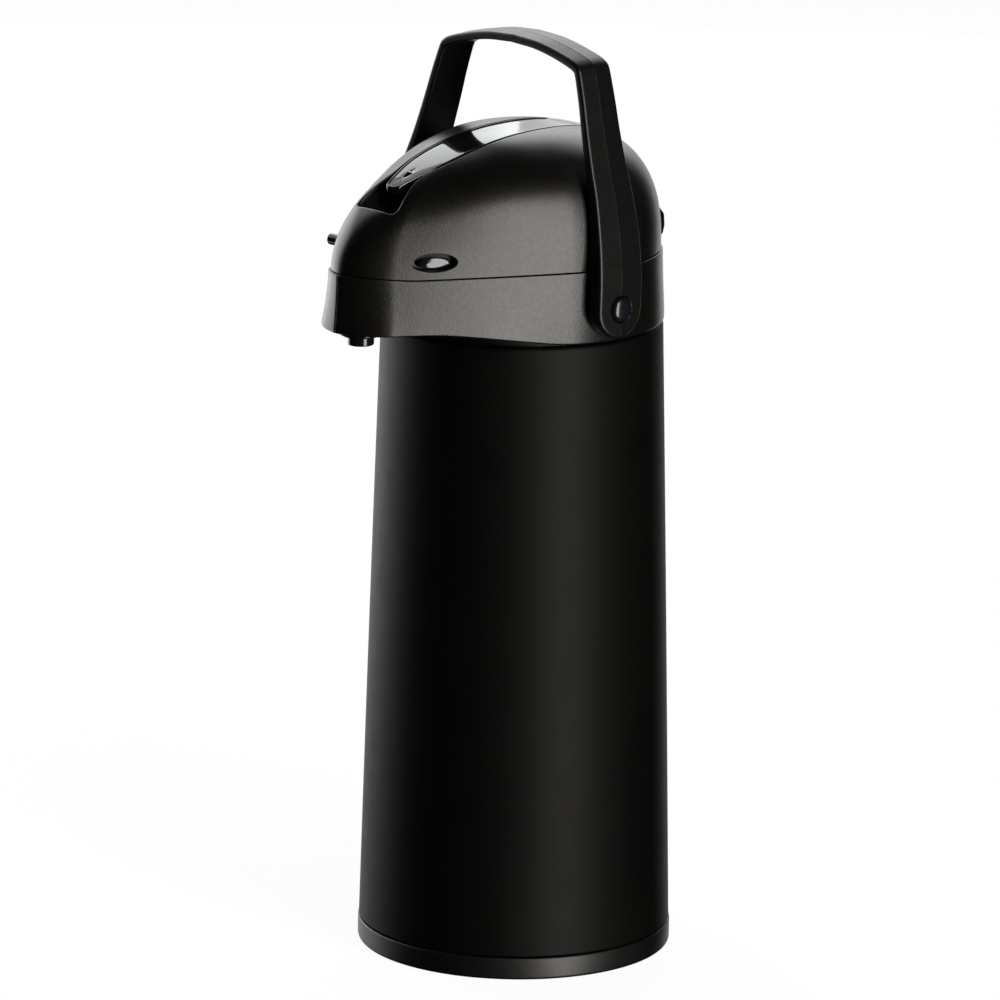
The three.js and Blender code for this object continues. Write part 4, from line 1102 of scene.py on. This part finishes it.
def build_collar():
    shell = piece("collar_shell", *collar(), HEAD_BLACK, "flask", MATT, ("collar",), 40)
    carve(shell, *nose_pocket())
    carve(shell, *rod(4.4, (0, -80, OUTLET_Z), (0, -20, OUTLET_Z)))
    carve(shell, *rod(7.1, (0, NOZZLE_Y, 333), (0, NOZZLE_Y, 346)))
    for side, name in SIDES:
        boss = [(3.9, 66.9), (9, 66.9), (9, 72.6), (3.9, 72.6), (3.9, 66.9)]
        verts, faces = lathe(rounded(boss, [0.2, 0.8, 0.4], 4)[:-1], 64)
        verts = turned_about_x(verts, side, PIVOT_Y, PIVOT_Z)
        piece("handle_boss_" + name, verts, faces, HEAD_BLACK, "flask", MATT)
        carve(shell, *rod(3.9, (side * 60, PIVOT_Y, PIVOT_Z), (side * 80, PIVOT_Y, PIVOT_Z)))
    for x0, name in ((16.3, "right"), (-19.3, "left")):
        ear = piece("hinge_ear_" + name, *hinge_ear(x0), HEAD_BLACK, "flask", MATT)
        carve(ear, *hinge_bore())
    piece("outlet_nozzle", *spout_nozzle(), NOZZLE_GLOSS, "flask", SHINY, ("spout_nozzle",))
    piece("outlet_flange", *nozzle_flange(), NOZZLE_GLOSS, "flask", SHINY, ("nozzle_flange",))


def build_handle():
    bail = piece("bail_handle", *handle(), HANDLE_BLACK, "handle", MATT, ("handle",), 40)
    for side, name in SIDES:
        carve(bail, *eye_recess(side))
        carve(bail, *rod(4.2, (side * 60, PIVOT_Y, PIVOT_Z), (side * 85, PIVOT_Y, PIVOT_Z)))
        pin = "pivot_pin_" + name
        piece("pivot_cap_" + name, *pivot_pin(side), CAP_BLACK, "flask", SHINY, (pin,))


def build_body():
    piece("outer_shell", *body_shell(), PAINT, "flask", "body_paint", ("body_shell",))
    piece("base_dish", *swivel_base(), BASE_BLACK, "base", MATT, ("swivel_base",))
    piece("base_grip_ring", *anti_slip_ring(), RUBBER, "base", "black_rubber", ("anti_slip_ring",))
    # The neck band's darker black is painted shade in the gap between shell and collar.
    piece("neck_shroud", *neck_ring(), PAINTED_SHADE_BLACK, "flask", "inner_plastic", ("neck_ring",))


def finish_cad_nodes():
    """Gives the CAD nodes that no piece stands for their materials."""
    finishes = {
        GLASS: ["liner_outer_bottle", "liner_inner_bottle"],
        RUBBER: ["liner_cushion", "bellows"],
        INNER: ["bottom_cover", "inner_lid"],
        SILICONE: ["mouth_gasket", "lid_gasket", "air_valve"],
        NATURAL: ["outlet_pipe", "stem_head", "dip_tube", "pump_plate"],
        STEEL: [
            "check_ball", "pump_spring", "lever_pin", "swivel_washer", "swivel_screw", "hinge_pin",
            *[f"lid_screw_{k}" for k in range(1, 5)],
        ],
    }
    for material, names in finishes.items():
        for name in names:
            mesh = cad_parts[name].data
            mesh.materials.clear()
            mesh.materials.append(material)


# ---------------- studio
# Azimuth, distance and height of each lamp, the height it is aimed at, its panel's width and height,
# watts and colour.
SOFTBOXES = {
    "key_right": (82, 1.05, 0.4, 0.4, 0.42, 1.9, 19.0, (1.0, 0.965, 0.92)),
    "side_left": (-86, 0.95, 0.38, 0.3, 0.8, 0.9, 3.4, (0.97, 0.985, 1.0)),
    "high_back": (-136, 1.7, 1.25, 0.45, 1.5, 0.9, 6.5, (0.95, 0.975, 1.0)),
}
FLOOR_HALF, FLOOR_Z, FLOOR_GREY, FLOOR_GLOW = 12.0, -0.0002, 0.12, 0.93
BACKDROP_AZIMUTHS, BACKDROP_DISTANCE, BACKDROP_HEIGHTS = (-62, -166), 2.6, (-1.3, 3.4)


def stage_material(name, colour, glow):
    m = Nodes(name)
    m.set(Roughness=0.9, Emission_Strength=glow, Specular_IOR_Level=0.0)
    m.set(Base_Color=(colour, colour, colour, 1), Emission_Color=(1, 1, 1, 1))
    return m.material


def studio_surface(name, verts, faces, material):
    mesh = bpy.data.meshes.new(name)
    mesh.from_pydata(verts, [], faces)
    mesh.materials.append(material)
    obj = bpy.data.objects.new(name, mesh)
    bpy.context.scene.collection.objects.link(obj)
    return obj


def around(azimuth, distance, height):
    """The point at an azimuth, a distance from the pot's axis and a height."""
    a = math.radians(azimuth)
    return Vector((math.sin(a) * distance, -math.cos(a) * distance, height))


def softbox(name, azimuth, distance, height, aim, width, tall, watts, colour):
    data = bpy.data.lights.new(name, "AREA")
    data.shape = "RECTANGLE"
    data.size, data.size_y = width, tall
    data.energy = watts
    data.color = colour
    lamp = bpy.data.objects.new(name, data)
    bpy.context.scene.collection.objects.link(lamp)
    place = around(azimuth, distance, height)
    lamp.matrix_world = Matrix.Translation(place) @ (
        (Vector((0, 0, aim)) - place).to_track_quat("-Z", "Y").to_matrix().to_4x4()
    )
    lamp.visible_camera = False


def build_studio():
    """A pale floor and a curved backdrop that the pot reflects but the camera sees through."""
    corners = [(x * FLOOR_HALF, y * FLOOR_HALF, FLOOR_Z) for x, y in ((-1, -1), (1, -1), (1, 1), (-1, 1))]
    floor = stage_material("pale_floor", FLOOR_GREY, FLOOR_GLOW)
    ground = studio_surface("floor", corners, [(0, 1, 2, 3)], floor)
    ground.visible_glossy = False
    ground.visible_diffuse = False
    ground.visible_shadow = False

    columns = 25
    azimuths = np.linspace(*BACKDROP_AZIMUTHS, columns)
    verts = [around(azimuth, BACKDROP_DISTANCE, z) for z in BACKDROP_HEIGHTS for azimuth in azimuths]
    faces = [(k, k + 1, columns + 1 + k, columns + k) for k in range(columns - 1)]
    backdrop = studio_surface("backdrop", verts, faces, stage_material("pale_backdrop", 0.0, 1.0))
    backdrop.visible_camera = False

    world = bpy.data.worlds.new("studio")
    bpy.context.scene.world = world
    world.use_nodes = True
    world.node_tree.nodes["Background"].inputs["Color"].default_value = (1, 1, 1, 1)
    world.cycles_visibility.glossy = False
    world.cycles_visibility.diffuse = False
    for name, facts in SOFTBOXES.items():
        softbox(name, *facts)
    bpy.context.scene.view_settings.view_transform = "Standard"


make_camera()
build_studio()
build_body()
build_collar()
build_head()
build_handle()
finish_cad_nodes()
